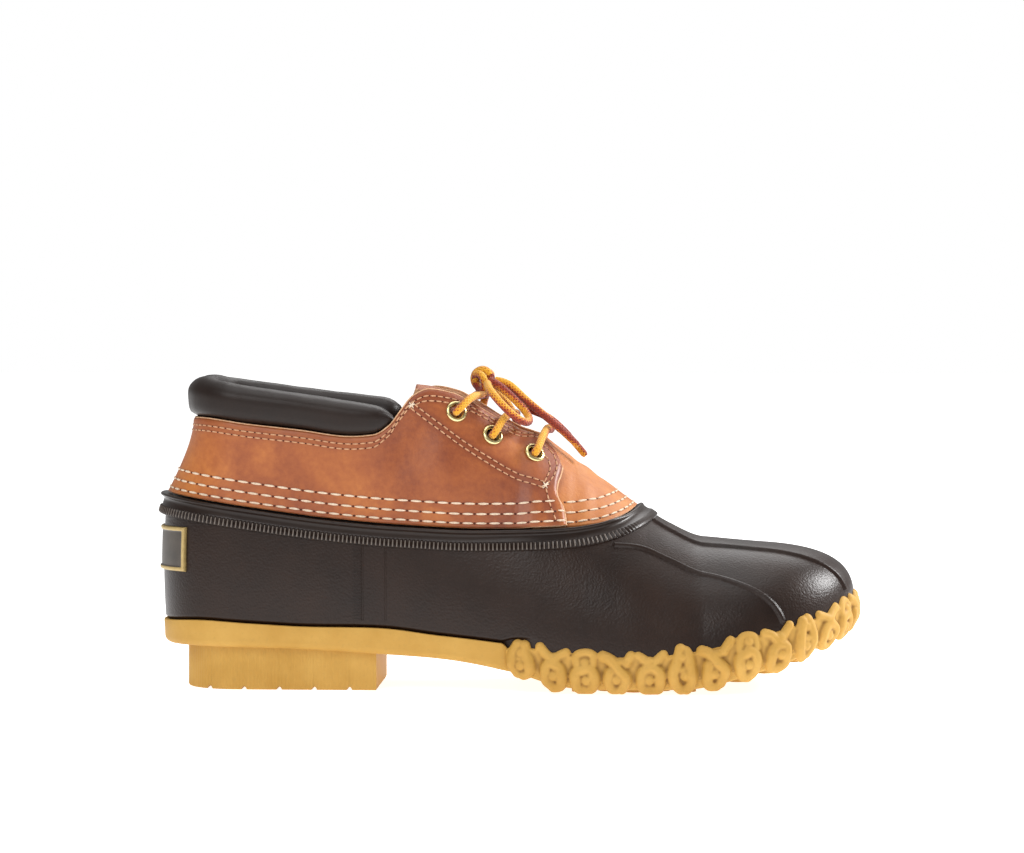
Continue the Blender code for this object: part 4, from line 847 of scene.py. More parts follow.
def soleOutline(s):  # the outline of the sole across each ray, as reach and height
    rays = Rays(s)
    x = rays.edgeX
    slab, into = slabHeight(x), x / last["length"] - sole["chainStart"]
    chained = ease((into + sole["chainRamp"]) / (2 * sole["chainRamp"])) * (rays.place > 1)
    edge = rays.reach + sole["bandStands"] * (1 - chained) - sole["behindChain"] * chained
    top = sideHeight(x) - sole["chainDrop"] * chained
    roundness = sole["bandRound"] * (1 - 0.5 * chained)
    outline = [(0 * slab, slab), (rays.reach * sole["floorShare"], slab)]
    for turn in np.linspace(0, quarterTurn, 6):
        outline.append((edge - roundness * (1 - math.sin(turn)), slab + roundness * (1 - math.cos(turn))))
    middle = slab + (top - slab) * 0.6
    crest, lip = edge + wallBulge(s, top), sole["lip"]
    seat = rays.reach + last["fitGap"] - rebateAt(x)
    return outline + [
        (edge + wallBulge(s, middle), middle),
        (crest, top - lip), (crest - 0.3 * lip, top - 0.3 * lip), (crest - lip, top),
        (seat + wallBulge(s, top), top), (seat, rays.foot),
        (rays.reach * sole["floorShare"], rays.foot - last["fitGap"]), (0 * slab, floorHeight(rays.x)),
    ]


def soleBody():
    ring = bothSides(pairedPlaces(26, 150, 40))
    rays = Rays(ring)
    reach, height = np.array(soleOutline(ring)).transpose(1, 0, 2)
    # the middle of the underside and of the floor lies on the spine, so both sides share its height
    for k in (0, 1, -2, -1):
        height[k] = (floorHeight if k < 0 else slabHeight)(rays.plan(reach[k])[0])
    px, py = rays.plan(reach)

    def place(u, v):
        i, j = cell(u, len(ring) - 1), cell(v, len(reach) - 1)
        return np.stack([px[j, i] - last["originFromBack"], py[j, i], height[j, i]], -1)

    mesh = gridMesh(len(ring) - 1, len(reach) - 1, place)
    bmesh.ops.dissolve_degenerate(mesh, edges=mesh.edges, dist=1e-6)
    bmesh.ops.recalc_face_normals(mesh, faces=mesh.faces)
    return mesh


def heelOutline():  # the block's outline on the ground, with fine upright ribs
    end = placeOf(heel["end"] * last["length"])
    rays = Rays(np.linspace(-end, end, 400))
    back = np.where(rays.place < 1, ease(1 - rays.place), 0.0)
    px, py = rays.plan(rays.reach - heel["inset"] - (heel["start"] - heel["inset"]) * back)
    outline = np.stack([px - last["originFromBack"], py, 0 * px], -1)
    run = runOf(outline)
    outline = pointsAt(np.linspace(0, run[-1], int(run[-1] / heel["rib"]) * 4 + 1), run, outline)
    wave = np.cos(2 * math.pi * np.arange(len(outline)) / 4) * heel["ribDeep"]
    return outline + unit(outline - outline.mean(0)) * wave[:, None]


def grooveCutter():
    cutters = bmesh.new()
    for i in range(heel["grooves"]):
        x = heel["start"] + heel["groovePitch"] * (i + 0.75) - last["originFromBack"]
        made = bmesh.ops.create_cone(cutters, cap_ends=True, segments=16, radius1=heel["grooveDeep"],
                                     radius2=heel["grooveDeep"], depth=0.12)["verts"]
        bmesh.ops.rotate(cutters, verts=made, cent=(0, 0, 0), matrix=Matrix.Rotation(quarterTurn, 3, "X"))
        bmesh.ops.scale(cutters, verts=made, vec=(heel["grooveHalf"] / heel["grooveDeep"], 1, 1))
        bmesh.ops.translate(cutters, verts=made, vec=(x, 0, 0))
    return newObject("groove_cutter", cutters, gumRubber)


def heelBlock():
    outline = heelOutline()
    mesh = bmesh.new()
    bmesh.ops.create_circle(mesh, cap_ends=True, segments=len(outline), radius=1.0)
    mesh.verts.ensure_lookup_table()
    for vert, point in zip(mesh.verts, outline):
        vert.co = point
    raised = bmesh.ops.extrude_face_region(mesh, geom=mesh.faces[:])
    for vert in [g for g in raised["geom"] if isinstance(g, bmesh.types.BMVert)]:
        vert.co.z = slabHeight(vert.co.x + last["originFromBack"]) + heel["sunk"]
    bmesh.ops.recalc_face_normals(mesh, faces=mesh.faces)
    ground = [e for e in mesh.edges if all(v.co.z < 1e-6 for v in e.verts)]
    bmesh.ops.bevel(mesh, geom=ground, offset=heel["chamfer"], segments=2, profile=0.5, affect="EDGES",
                     material=-1)
    block = newObject("heel_block", mesh, gumRubber)
    cutAway(block, grooveCutter())
    mesh = bmesh.new()
    mesh.from_mesh(block.data)
    bpy.data.objects.remove(block)
    return mesh


def insideEdge(x, y):  # how far a point of the plan lies inside the sole's edge
    toeX = last["toeSpine"] * last["length"]
    toeY = float(crownShare(last["toeSpine"])) * last["ballWidth"]
    if x <= toeX:
        half = (lateralHalf if y < 0 else medialHalf)(x / last["length"]) * last["ballWidth"]
        return half - abs(y)
    turn = math.atan2(abs(y - toeY), x - toeX)
    rays = Rays(np.array([(-1 if y < toeY else 1) * (3 - turn / quarterTurn)]))
    return rays.reach[0] - math.hypot(x - toeX, y - toeY)


def lugs():
    mesh = bmesh.new()
    for i in range(12):
        for j in range(-6, 7):
            x = sole["chainStart"] * last["length"] + lug["start"] + i * lug["pitch"]
            y = (j + (0.5 if i % 2 else 0)) * lug["pitch"]
            if x > 0.97 * last["length"] or insideEdge(x, y) < lug["inside"]:
                continue
            base, tip = float(slabHeight(x)) + lug["sunk"], float(groundHeight(x))
            tip += lug["short"] * (insideEdge(x, y) < lug["outer"])  # the outer ones stop behind the chain
            middle = Matrix.Translation((0, 0, (base + tip) / 2))
            made = bmesh.ops.create_cone(mesh, cap_ends=True, segments=14, radius1=lug["foot"],
                                         radius2=lug["root"], depth=base - tip, matrix=middle)
            faces = {f for v in made["verts"] for f in v.link_faces}
            under = min(faces, key=lambda f: f.calc_center_median().z)
            ring = bmesh.ops.inset_region(mesh, faces=[under], thickness=lug["wall"])
            dimple = min(ring["faces"] + [under], key=lambda f: f.calc_center_median().xy.length)
            for vert in dimple.verts:
                vert.co.z += lug["dimple"]
            whole = {v for f in faces | set(ring["faces"]) | {dimple} for v in f.verts}
            bmesh.ops.translate(mesh, verts=list(whole), vec=(x - last["originFromBack"], y, 0))
    return mesh


gum = soleBody()
merge(gum, heelBlock())
merge(gum, lugs())
gumSole = newObject("gum_sole", gum, gumRubber, 40)
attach(gumSole, "root")
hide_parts("outsole")
report("gum sole made")


# Chain tread: strands laid on the sole's edge in turn, then made one skin
# crease: how deep a hollow must be to take the full painted shade
chain = {"strand": 2.65 * mm, "voxel": 0.56 * mm, "out": -0.2 * mm, "clear": 0.25 * mm, "tuck": 1.8 * mm,
         "tuckBelow": 0.35, "edgeStrand": 2.1 * mm, "edgeAt": 1.12, "edgeOut": -0.4 * mm,
         "crease": 0.055 * mm}


def mirrored(strand):
    return tuple((1 - along, share, out) for along, share, out in strand)


leg = ((0.40, 1.00, -0.4), (0.31, 0.76, 0.2), (0.235, 0.46, 0.6), (0.25, 0.18, 0.5), (0.40, 0.00, 0.2))
loop = ((0.50, 0.62, 0.6), (0.29, 0.53, 0.6), (0.215, 0.30, 0.6), (0.30, 0.06, 0.4), (0.50, -0.02, 0.2))
arm = ((0.10, 1.00, -0.4), (0.29, 0.86, 0.0), (0.46, 0.70, 0.6))
arch = ((0.26, 0.70, 0.1), (0.30, 0.94, -0.3), (0.50, 1.04, -0.3), (0.70, 0.94, -0.3), (0.74, 0.70, 0.1))
slope = ((0.06, 0.98, -0.4), (0.30, 0.82, 0.4), (0.55, 0.56, 0.8), (0.765, 0.32, 0.7), (0.66, 0.04, 0.3))
linkShapes = (  # strands of each kind of link: (along in pitches, height share, out in mm) and radius share
    ((leg, 1.00), (mirrored(leg), 1.00), (((0.30, 0.52, 0.2), (0.50, 0.49, 0.5), (0.70, 0.52, 0.2)), 0.80)),
    ((loop, 0.98), (mirrored(loop), 0.98), (arm, 0.84), (mirrored(arm), 0.84)),
    ((slope, 1.00), (((0.92, 1.00, -0.4), (0.72, 0.80, 0.2)), 0.86), (loop[1:], 0.98)),
    ((loop, 1.00), (mirrored(loop), 1.00), (arch, 0.84)),
)
linkOrder = (0, 1, 3, 2, 1, 0, 2, 3, 1)
knuckles = ((0.31, 0.35, 2.6), (0.78, -0.1, 2.6))  # height share, out and radius in mm


def chainWay():
    side = np.linspace(placeOf(sole["chainStart"] * last["length"]), 3.0, 500)
    rays = Rays(np.concatenate([-side, side[-2::-1]]))
    full = np.concatenate([-side, -6 + side[-2::-1]])  # the places without their jump at the toe
    return runOf(np.stack(rays.plan(rays.reach), -1)), full


def chainPoint(run, full, along, share, out):
    s = np.interp(along, run, full)
    rays = Rays(s)
    x = rays.edgeX
    low, high = groundHeight(x) + chain["strand"] * 0.9, sideHeight(x) - chain["strand"] * 0.75
    height = low + (high - low) * share
    under = np.clip(chain["tuckBelow"] - share, 0, 1) / chain["tuckBelow"]  # they turn in under the edge
    px, py = rays.plan(rays.reach + out + wallBulge(s, height) - chain["tuck"] * under)
    return np.stack([px - last["originFromBack"], py, height], -1)


def paintCreaseShade(data):  # painted shade: the hollows where the strands meet are darkened
    spots, normals = np.empty(len(data.vertices) * 3), np.empty(len(data.vertices) * 3)
    data.vertices.foreach_get("co", spots)
    data.vertices.foreach_get("normal", normals)
    spots, normals = spots.reshape(-1, 3), normals.reshape(-1, 3)
    edges = np.empty(len(data.edges) * 2, np.int32)
    data.edges.foreach_get("vertices", edges)
    a, b = edges.reshape(-1, 2).T
    joined = np.bincount(a, minlength=len(spots)) + np.bincount(b, minlength=len(spots))
    bend = np.einsum("ij,ij->i", spots[b] - spots[a], normals[a])
    back = np.einsum("ij,ij->i", spots[a] - spots[b], normals[b])
    hollow = (np.bincount(a, bend, len(spots)) + np.bincount(b, back, len(spots))) / joined
    for _ in range(3):
        around = np.bincount(a, hollow[b], len(spots)) + np.bincount(b, hollow[a], len(spots))
        hollow = 0.4 * hollow + 0.6 * around / joined
    layer = data.attributes.new("crease", "FLOAT", "POINT")
    layer.data.foreach_set("value", np.clip(hollow / chain["crease"], 0, 1).astype(np.float32))


def chainTread():
    run, full = chainWay()
    links = int(round(run[-1] / sole["linkPitch"]))
    pitch = run[-1] / links
    mesh = bmesh.new()
    wobble = np.random.default_rng(7)

    def ball(spot, radius):
        bmesh.ops.create_icosphere(mesh, subdivisions=2, radius=radius, matrix=Matrix.Translation(spot))

    for link in range(links):
        for strand, thick in linkShapes[linkOrder[link % len(linkOrder)]]:
            radius = chain["strand"] * thick
            strand = np.array(strand) + wobble.normal(0, (0.030, 0.020, 0.10), (len(strand), 3))
            along, share, out = throughPoints(strand, 3 + 4 * len(strand)).T
            points = chainPoint(run, full, (link + along) * pitch, share, chain["out"] + out * mm)
            points[:, 2] = np.maximum(points[:, 2], radius + chain["clear"])  # none through the floor
            tubeMesh(points, radius, 8, mesh)
            ball(points[0], radius)
            ball(points[-1], radius)
        for share, out, radius in knuckles:  # the links' openings are almost closed
            shift = wobble.normal(0, 0.045, 2)
            along, share = np.array([(link + 0.5 + shift[0]) * pitch]), np.array([share + shift[1]])
            ball(chainPoint(run, full, along, share, np.array([out * mm]))[0], radius * mm)
    for first, final in ((-0.2, 2.1), (links - 2.1, links + 0.2)):  # closes the step at each end
        along = np.linspace(first, final, 24) * pitch
        points = chainPoint(run, full, along, chain["edgeAt"] + 0 * along, chain["edgeOut"] + 0 * along)
        tubeMesh(points, chain["edgeStrand"], 8, mesh)

    def backing(u, v):  # a strip behind the strands, closed round its own section
        corner = np.minimum(cell(v, 4), 4) % 4
        out = np.array([-2.4, 1.0, 0.9, -2.4])[corner] * mm
        share = np.array([0.12, 0.18, 0.90, 0.92])[corner]
        return chainPoint(run, full, u * run[-1], share, out)

    merge(mesh, capped(gridMesh(400, 4, backing)))
    piece = newObject("chain_tread", mesh, gumRubber)
    skin = piece.modifiers.new("skin", "REMESH")
    skin.mode, skin.voxel_size, skin.use_smooth_shade = "VOXEL", chain["voxel"], True
    soften = piece.modifiers.new("soften", "SMOOTH")
    soften.factor, soften.iterations = 0.5, 3
    settle(piece)
    piece.data.shade_smooth()
    if not piece.data.materials:
        piece.data.materials.append(gumRubber)
    paintCreaseShade(piece.data)
    return piece


tread = chainTread()
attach(tread, "root")
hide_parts("outsole")
report(f"chain tread made, {len(tread.data.polygons)} faces")


# Rubber bottom
rubber = {"wall": 1.6 * mm, "flange": 18.0 * mm, "flangeInset": 2.7 * mm, "shoulder": 6.0 * mm,
          "rebateBlend": 1.2 * mm, "tooth": 1.75 * mm, "turn": 14.0 * mm, "wallTurn": 14.5 * mm}
ribs = {
    "lateral": ((0.645, -0.325), (0.700, -0.285), (0.770, -0.305), (0.830, -0.355), (0.884, -0.400)),
    "centre": ((0.699, -0.062), (0.768, -0.085), (0.862, -0.118), (0.928, -0.124), (0.972, -0.112)),
    "medial": ((0.650, 0.330), (0.710, 0.310), (0.780, 0.345), (0.840, 0.380), (0.895, 0.410)),
}


def shellOffset(x, height):
    behindBand = rebateAt(x) * (1 - ease((height - sideHeight(x) - last["fitGap"]) / rubber["rebateBlend"]))
    behindLeather = rubber["flangeInset"] * (1 - ease((rimHeight(x) - height) / rubber["shoulder"]))
    return -np.maximum(behindBand, behindLeather)


def rubberPlaces():
    body = np.linspace(1, placeOf(0.190), 150, endpoint=False)
    front = closeUp(crossing(), rubber["wallTurn"], 20)
    return np.concatenate([np.linspace(0, 1, 50, endpoint=False), body[body < front[0] - 0.003], front,
                           np.linspace(front[-1], 2, 22)[1:-1], np.linspace(2, 3, 130)])


def rubberWall():
    ring = bothSides(rubberPlaces())
    rays = Rays(ring)
    stops = [np.zeros(len(ring))]
    stops += [rays.angleOf(line, shift) for line, shift in (
        (sideHeight, last["fitGap"]), (sideHeight, 1.5 * mm), (rimHeight, -rubber["shoulder"]),
        (rimHeight, -0.5 * mm), (rimHeight, rubber["flange"]))]
    angles = [stops[0]]
    for low, high, count in zip(stops, stops[1:], (2, 3, 54, 5, 3)):
        angles += [low + (high - low) * (k + 1) / count for k in range(count)]
    angles = np.array(angles)

    def place(u, v):
        i, j = cell(u, len(ring) - 1), cell(v, len(angles) - 1)
        s, angle = ring[i], angles[j, i]
        r = Rays(s)
        reach, height = r.atAngle(angle)
        return onLast(s, angle, shellOffset(r.plan(reach)[0], height))

    mesh = facingOut(gridMesh(len(ring) - 1, len(angles) - 1, place))
    return thicken(newObject("rubber_bottom", mesh, brownRubber, 60), rubber["wall"])


def rimPlaces(shift):  # stations of the rim from the heel to where it turns over the instep
    front = crossing(shift)
    return np.concatenate([np.linspace(0, 1, 60, endpoint=False),
                           np.linspace(1, placeOf(front - rubber["turn"]), 150, endpoint=False),
                           closeUp(front, rubber["turn"], 30)])


def rimWay(spacing):  # the rim once round from the heel, with its outward normals
    places = rimPlaces(0.0)
    s = np.concatenate([-places, places[-2:0:-1], -places[:1]])
    angle = Rays(s).angleOf(rimHeight)
    path, outward = onLast(s, angle), normalAt(s, angle)
    run = runOf(path)
    want = np.linspace(0, run[-1], int(round(run[-1] / spacing)), endpoint=False)
    return pointsAt(want, run, path), unit(pointsAt(want, run, outward)), run[-1]


rimSection = (  # out, up, how much the teeth add, out at the front of the instep, in millimetres
    (-3.5, 0.0, 0, -3.5), (1.6, 0.06, 0, 0.5), (2.15, -0.12, 0, 0.8), (2.42, -0.45, 0, 1.0),
    (2.45, -0.85, 0, 1.0), (2.2, -1.2, 0, 0.9), (1.5, -1.45, 0, 0.8), (0.75, -1.75, 0, 0.6),
    (0.45, -2.2, 0, 0.5), (0.40, -3.4, 0, 0.5), (0.42, -4.6, 0, 0.8), (0.50, -5.0, 0, 1.0),
    (0.72, -5.25, 0.3, 1.15), (0.86, -5.6, 1, 1.2), (0.86, -6.9, 1, 1.2), (0.82, -8.2, 1, 1.15),
    (0.55, -8.65, 0.3, 0.8), (-0.6, -8.9, 0, -0.6), (-0.9, -6.0, 0, -0.9), (-3.5, 0.0, 0, -3.5),
)


def rubberRim():
    path, _, run = rimWay(rubber["tooth"] / 6)  # six points a tooth
    path, outward, _ = rimWay(run / (len(path) - len(path) % 6))
    side, up, teeth, instep = np.array(rimSection).T[:, :, None]
    swing = np.cos(2 * math.pi * np.arange(len(path)) / 6)
    front = ease((path[:, 0] + last["originFromBack"] - knurl["end"]) / knurl["blend"])
    wave = knurl["wave"] * np.sign(swing) * np.abs(swing) ** 0.6 * (1 - front)
    out = (side * (1 - front) + instep * front) * mm + teeth * wave
    mesh = sweep(path, outward, out, up[:, 0] * mm, True, (len(path) / 6, len(rimSection) - 1))
    return newObject("rubber_rim", mesh, rimRubber)


def lastSpot(x, y):  # the place and angle of the last above a point of the plan
    toeX = last["toeSpine"] * last["length"]
    toeY = float(crownShare(last["toeSpine"])) * last["ballWidth"]
    if x <= toeX:
        crown = float(crownShare(x / last["length"])) * last["ballWidth"]
        s, reach = (-1 if y < crown else 1) * placeOf(x), abs(y - crown)
    else:
        turn = math.atan2(abs(y - toeY), x - toeX)
        s, reach = (-1 if y < toeY else 1) * (3 - turn / quarterTurn), math.hypot(x - toeX, y - toeY)
    rays = Rays(np.array([s]))
    low, high = narrowed(0.0, quarterTurn, lambda angle: rays.atAngle(np.array([angle]))[0][0] > reach, 34)
    return s, max(float(low + high) / 2, rays.angleOf(sideHeight, 2 * last["fitGap"])[0])


ribSection = np.array((  # out and across, in millimetres
    (-1.0, -1.9), (-0.1, -1.8), (0.10, -1.4), (0.60, -0.98), (1.05, -0.58), (1.22, 0.0), (1.05, 0.58),
    (0.60, 0.98), (0.10, 1.4), (-0.1, 1.8), (-1.0, 1.9), (-1.0, -1.9))) * mm


def rubberRib(name):
    across = smoothLine(ribs[name], 1)
    first, end = ribs[name][0][0], ribs[name][-1][0]
    spots = []
    for i in range(61):
        at = first + (end - first) * (1 - (1 - i / 60) ** 1.6)
        spots.append(lastSpot(at * last["length"], float(across(at)) * last["ballWidth"]))
    s, angle = np.array(spots).T
    return sweep(onLast(s, angle), normalAt(s, angle), ribSection[:, 0], ribSection[:, 1])


sideSeam = {"column": 0.0850, "lines": (0.0872, 0.0970), "low": 0.0305, "high": 0.0605, "teeth": 24,
            "tooth": (3.2 * mm, 0.62 * mm, 0.56 * mm), "lineWide": 0.9 * mm}
beadSection = np.array((  # out in millimetres and across as a share of the width
    (-0.6, -0.5), (0.0, -0.5), (0.20, -0.25), (0.26, 0.0), (0.20, 0.25), (0.0, 0.5), (-0.6, 0.5),
    (-0.6, -0.5)))


def uprightLine(side, x, heights):  # points and normals up the rubber's side
    s = np.full_like(heights, side * placeOf(x))
    angle = Rays(s).angleOf(lambda _: heights)
    return onLast(s, angle), normalAt(s, angle)


def sideSeamMesh():  # two fine upright beads with a column of teeth beside them
    mesh = bmesh.new()
    beadHeights = np.linspace(sideSeam["low"] - 0.5 * mm, sideSeam["high"] + 1.5 * mm, 40)
    out, across = beadSection[:, 0] * mm, beadSection[:, 1] * sideSeam["lineWide"]
    toothHeights = np.linspace(sideSeam["low"], sideSeam["high"], sideSeam["teeth"])
    for side in (-1, 1):
        for x in sideSeam["lines"]:
            merge(mesh, sweep(*uprightLine(side, x, beadHeights), out, across))
        for spot, normal in zip(*uprightLine(side, sideSeam["column"], toothHeights)):
            up = Vector(normal)
            level = up.cross(Vector((1, 0, 0))).normalized()
            turn = Matrix((level.cross(up), level, up)).transposed().to_4x4()
            made = bmesh.ops.create_cube(mesh, size=1.0)["verts"]
            bmesh.ops.scale(mesh, verts=made, vec=sideSeam["tooth"])
            bmesh.ops.transform(mesh, verts=made, matrix=Matrix.Translation(spot) @ turn)
    return mesh


bottom = rubberWall()
ribMesh = bmesh.new()
for name in ribs:
    merge(ribMesh, rubberRib(name))
merge(ribMesh, sideSeamMesh())
ribPiece = newObject("toe_ribs", ribMesh, brownRubber)
rimPiece = rubberRim()
for piece in (bottom, ribPiece, rimPiece):
    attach(piece, "root")
    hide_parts("rubber_shell")
report("rubber bottom made")


# Leather upper
leather = {"wall": 1.8 * mm, "vampWall": 1.4 * mm, "vampInset": 0.6 * mm, "rimGap": 1.2 * mm,
           "vampStart": 0.162, "front": 0.1715, "fanFrom": 1.62, "rollFrom": 0.965, "roll": 0.5 * mm}
frontEdge = np.array((  # the quarter's front edge in side view, in millimetres
    (173.4, 67.6), (172.4, 74.0), (171.4, 77.6), (169.5, 80.6), (168.6, 83.6), (168.9, 86.6), (169.8, 89.6),
    (170.4, 92.0), (170.6, 93.7)))
quarterFolds = (  # depth, middle and half length in millimetres, middle and half height as shares
    (-0.9, 106, 12, 0.62, 0.40),  # in front of the ankle
    (0.6, 121, 10, 0.50, 0.36),
    (-0.18, 140, 30, 0.45, 0.10),  # the eyestay's seam pulls the leather in
)


def quarterSpan(rays):  # the angles of the quarters' lower and upper edge
    return rays.angleOf(rimHeight, leather["rimGap"]), rays.angleOf(edgeHeight)


def frontShares():
    x, z = frontEdge.T * mm
    rays = Rays(-placeOf(x))
    low, top = quarterSpan(rays)
    share = (rays.angleOf(lambda _: z) - low) / (top - low)
    share = np.maximum.accumulate(share + 1e-4 * np.arange(len(share)))
    return tuple(zip(share, x))


quarterFront = smoothLine(frontShares(), 1)


def quarterPlace(u, v):  # where the quarters' grid lies; v runs from the rim to the edge
    end = placeOf(leather["front"])
    back = np.abs(u - 0.5) * 2 * end
    blend = ease((back - leather["fanFrom"]) / (end - leather["fanFrom"]))  # fans out to the wavy front edge
    return np.where(u < 0.5, -1.0, 1.0) * (back + blend * (placeOf(quarterFront(v)) - end))


def quarterRelief(x, v, point):  # soft folds of the worked leather
    soft = bumps(point, 0.022, 3.0) * 0.40 * mm + bumps(point, 0.007, 9.0) * 0.08 * mm
    relief = soft * ease(v / 0.25) * ease((1 - v) / 0.12)
    for deep, at, half, up, tall in quarterFolds:
        relief = relief + deep * mm * hump(x, at * mm, half * mm) * hump(v, up, tall)
    return relief - leather["roll"] * ease((v - leather["rollFrom"]) / (1 - leather["rollFrom"]))


def onQuarter(s, angle):  # a point on the quarters' face and its normal
    rays = Rays(s)
    low, top = quarterSpan(rays)
    v = np.clip((angle - low) / (top - low), 0, 1)
    point, normal = onLast(s, angle, quarterOffset(rays.edgeX)), normalAt(s, angle)
    relief = quarterRelief(point[:, 0] + last["originFromBack"], v, point)
    return point + normal * relief[:, None], normal


def quarterSpot(u, v):
    s = quarterPlace(u, v)
    low, top = quarterSpan(Rays(s))
    return onQuarter(s, low + (top - low) * v)


def seamDistance(point, line):  # distance in side view from each point to a polyline
    best = np.full(len(point), 9.9)
    for a, b in zip(line, line[1:]):
        ab = b - a
        t = np.clip(((point - a) @ ab) / (ab @ ab), 0, 1)
        best = np.minimum(best, np.linalg.norm(point - a - t[:, None] * ab, axis=1))
    return best


# Seams of the upper in side view: distance from the back of the heel and height, in millimetres
seams = {
    "eyestay": ((107.6, 121.0), (112.3, 117.3), (117.0, 113.7), (127.6, 105.8), (139.7, 98.0), (151.9, 91.0),
                (163.7, 86.1)),
    "frontDrop": ((163.9, 85.4), (165.4, 80.5), (167.0, 76.0), (168.8, 71.8)),
    "frontOuter": ((161.5, 102.6), (165.6, 99.2), (167.6, 95.6), (167.9, 92.4), (166.4, 89.0), (163.9, 86.4)),
    "frontInner": ((159.8, 100.4), (163.4, 97.4), (165.0, 94.6), (165.2, 92.2), (164.3, 89.6), (163.2, 87.4)),
}


def sideSpot(x, z, side):  # place and angle of the quarter at a point of side view
    s = side * placeOf(x * mm)
    return s, Rays(s).angleOf(lambda _: z * mm)


def markSeams(piece):  # darker, waxier leather between the rows of stitches
    data = piece.data
    points = np.array([v.co for v in data.vertices])
    side = np.stack([(points[:, 0] + last["originFromBack"]) / mm, points[:, 2] / mm], -1)
    shade = np.zeros(len(points))
    for name in ("eyestay", "frontDrop", "frontOuter"):
        line = np.array(seams[name], float)
        shade = np.maximum(shade, 0.75 * (1 - ease((seamDistance(side, line) - 1.6) / 1.8)))
    edge = edgeHeight(side[:, 0] * mm) / mm
    throat = np.clip((side[:, 0] - 100) / 8, 0, 1)
    shade = np.maximum(shade, (0.35 + 0.3 * throat) * (1 - ease((edge - side[:, 1] - 4.5) / 3.0)))
    layer = data.attributes.new("seamShade", "FLOAT", "POINT")
    layer.data.foreach_set("value", shade.astype(np.float32))


eyeletHoles = bmesh.new()
for side in (-1, 1):
    for number in range(3):
        bmesh.ops.create_cone(eyeletHoles, cap_ends=True, segments=32, radius1=eyelets["hole"],
                              radius2=eyelets["hole"], depth=0.012,
                              matrix=standing(*eyeletSeat(side, number)))
quarterMesh = facingOut(gridMesh(420, 44, lambda u, v: quarterSpot(u, v)[0]))
quarterPiece = newObject("leather_quarters", quarterMesh, [tanLeather, fleshLeather], 60)
thicken(quarterPiece, leather["wall"], 1)
cutAway(quarterPiece, newObject("hole_cutter", eyeletHoles, tanLeather))
markSeams(quarterPiece)
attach(quarterPiece, "root")
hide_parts("quarters")


def cutEdge():  # the leather's cut edge, paler than its face
    ends, along = np.linspace(0, 1, 60), np.linspace(0, 1, 420)
    u = np.concatenate([0 * ends, along, 1 + 0 * ends])
    v = np.concatenate([ends, 1 + 0 * along, ends[::-1]])
    path, normal = quarterSpot(u, v)
    keep = np.diff(runOf(path), prepend=-1) > 0.05 * mm
    return tubeMesh((path - normal * 0.45 * mm)[keep], 0.50 * mm, 8)


edgePiece = newObject("leather_cut_edge", cutEdge(), fleshLeather)
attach(edgePiece, "root")

vampCreases = ((-0.35, 177.5, 4.0), (-0.25, 186.0, 4.5), (0.25, 181.8, 6.0))  # depth, middle, half length


def onVamp(s, x, angle):  # a point on the vamp, with the creases where the foot bends
    point = onLast(s, angle)
    relief = bumps(point, 0.015, 5.0) * 0.3 * mm * ease((0.200 - x) / 0.010) - leather["vampInset"]
    for deep, at, half in vampCreases:
        relief = relief + deep * mm * hump(x, at * mm, half * mm) * angle / quarterTurn
    return onLast(s, angle, relief)


def vampPlace(u, v):
    share = 1 - (1 - u) ** 2
    side, across = np.where(v < 0.5, -1.0, 1.0), 1 - np.abs(2 * v - 1)
    x = leather["vampStart"] + (crossing(leather["rimGap"]) - leather["vampStart"]) * share
    x = x + 2.5 * mm * (1 - u) * (across - 1)  # the throat's edge is a shallow curve
    s = side * placeOf(x)
    low = Rays(s).angleOf(rimHeight, leather["rimGap"])
    return onVamp(s, x, low + (quarterTurn - low) * across)


vampMesh = facingOut(gridMesh(70, 110, vampPlace))
vampPiece = newObject("leather_vamp", vampMesh, [vampLeather, fleshLeather], 60)
thicken(vampPiece, leather["vampWall"], 1)
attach(vampPiece, "root")
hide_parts("vamp")

tongue = {"start": 0.3600, "end": 0.5767, "wall": 2.2 * mm, "round": 0.030, "top": 0.130, "depth": 3.0 * mm,
          "dip": 12.0 * mm, "blend": 10.0 * mm, "clearance": 3.4 * mm}


def tongueHeight(x, y):
    free = tongue["top"] * tongueShare(x / last["length"]) - y * y / (2 * tongue["round"])
    under = ridgeHeight(x) - tongue["depth"] - y * y / (2 * tongue["round"])
    blend = ease((x - leather["vampStart"] + tongue["dip"]) / tongue["blend"])
    return free * (1 - blend) + np.minimum(free, under) * blend


def tongueHalf(side, x):
    rays = Rays(side * placeOf(x))

    def room(y):  # whether the tongue still clears the quarters and the rubber's flange at y
        height = tongueHeight(x, y)
        over = height > rimHeight(x) + rubber["flange"] + tongue["depth"]
        inside = np.where(over, leather["wall"], rubber["flangeInset"] + rubber["wall"])
        reach = rays.atAngle(rays.angleOf(lambda _: height))[0]
        return y < reach + side * rays.y - inside - tongue["clearance"]

    return narrowed(np.zeros_like(x), np.full_like(x, last["ballWidth"] / 3), room, 26)[0]


def tonguePlace(u, v):
    t = 2 * v - 1
    xs = last["length"] * (tongue["start"] + (tongue["end"] - tongue["start"]) * u)
    lateral, medial = perColumn(xs, lambda x: (tongueHalf(-1, x), tongueHalf(1, x)))
    corner = 1 - 0.45 * (1 - ease(u / 0.16)) * np.abs(t) ** 2
    y = np.where(t < 0, lateral, medial) * t * corner
    point = np.stack([xs - last["originFromBack"], y, tongueHeight(xs, y)], -1)
    point[:, 2] += bumps(point, 0.012, 2.0) * 0.4 * mm - 0.3 * mm
    return point


tongueMesh = facingOut(gridMesh(60, 26, tonguePlace))
tonguePiece = newObject("leather_tongue", tongueMesh, [tongueLeather, fleshLeather], 60)
thicken(tonguePiece, tongue["wall"] - 0.4 * mm, 1).modifiers["wall"].use_even_offset = False
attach(tonguePiece, "root")
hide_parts("tongue")
report("leather made")


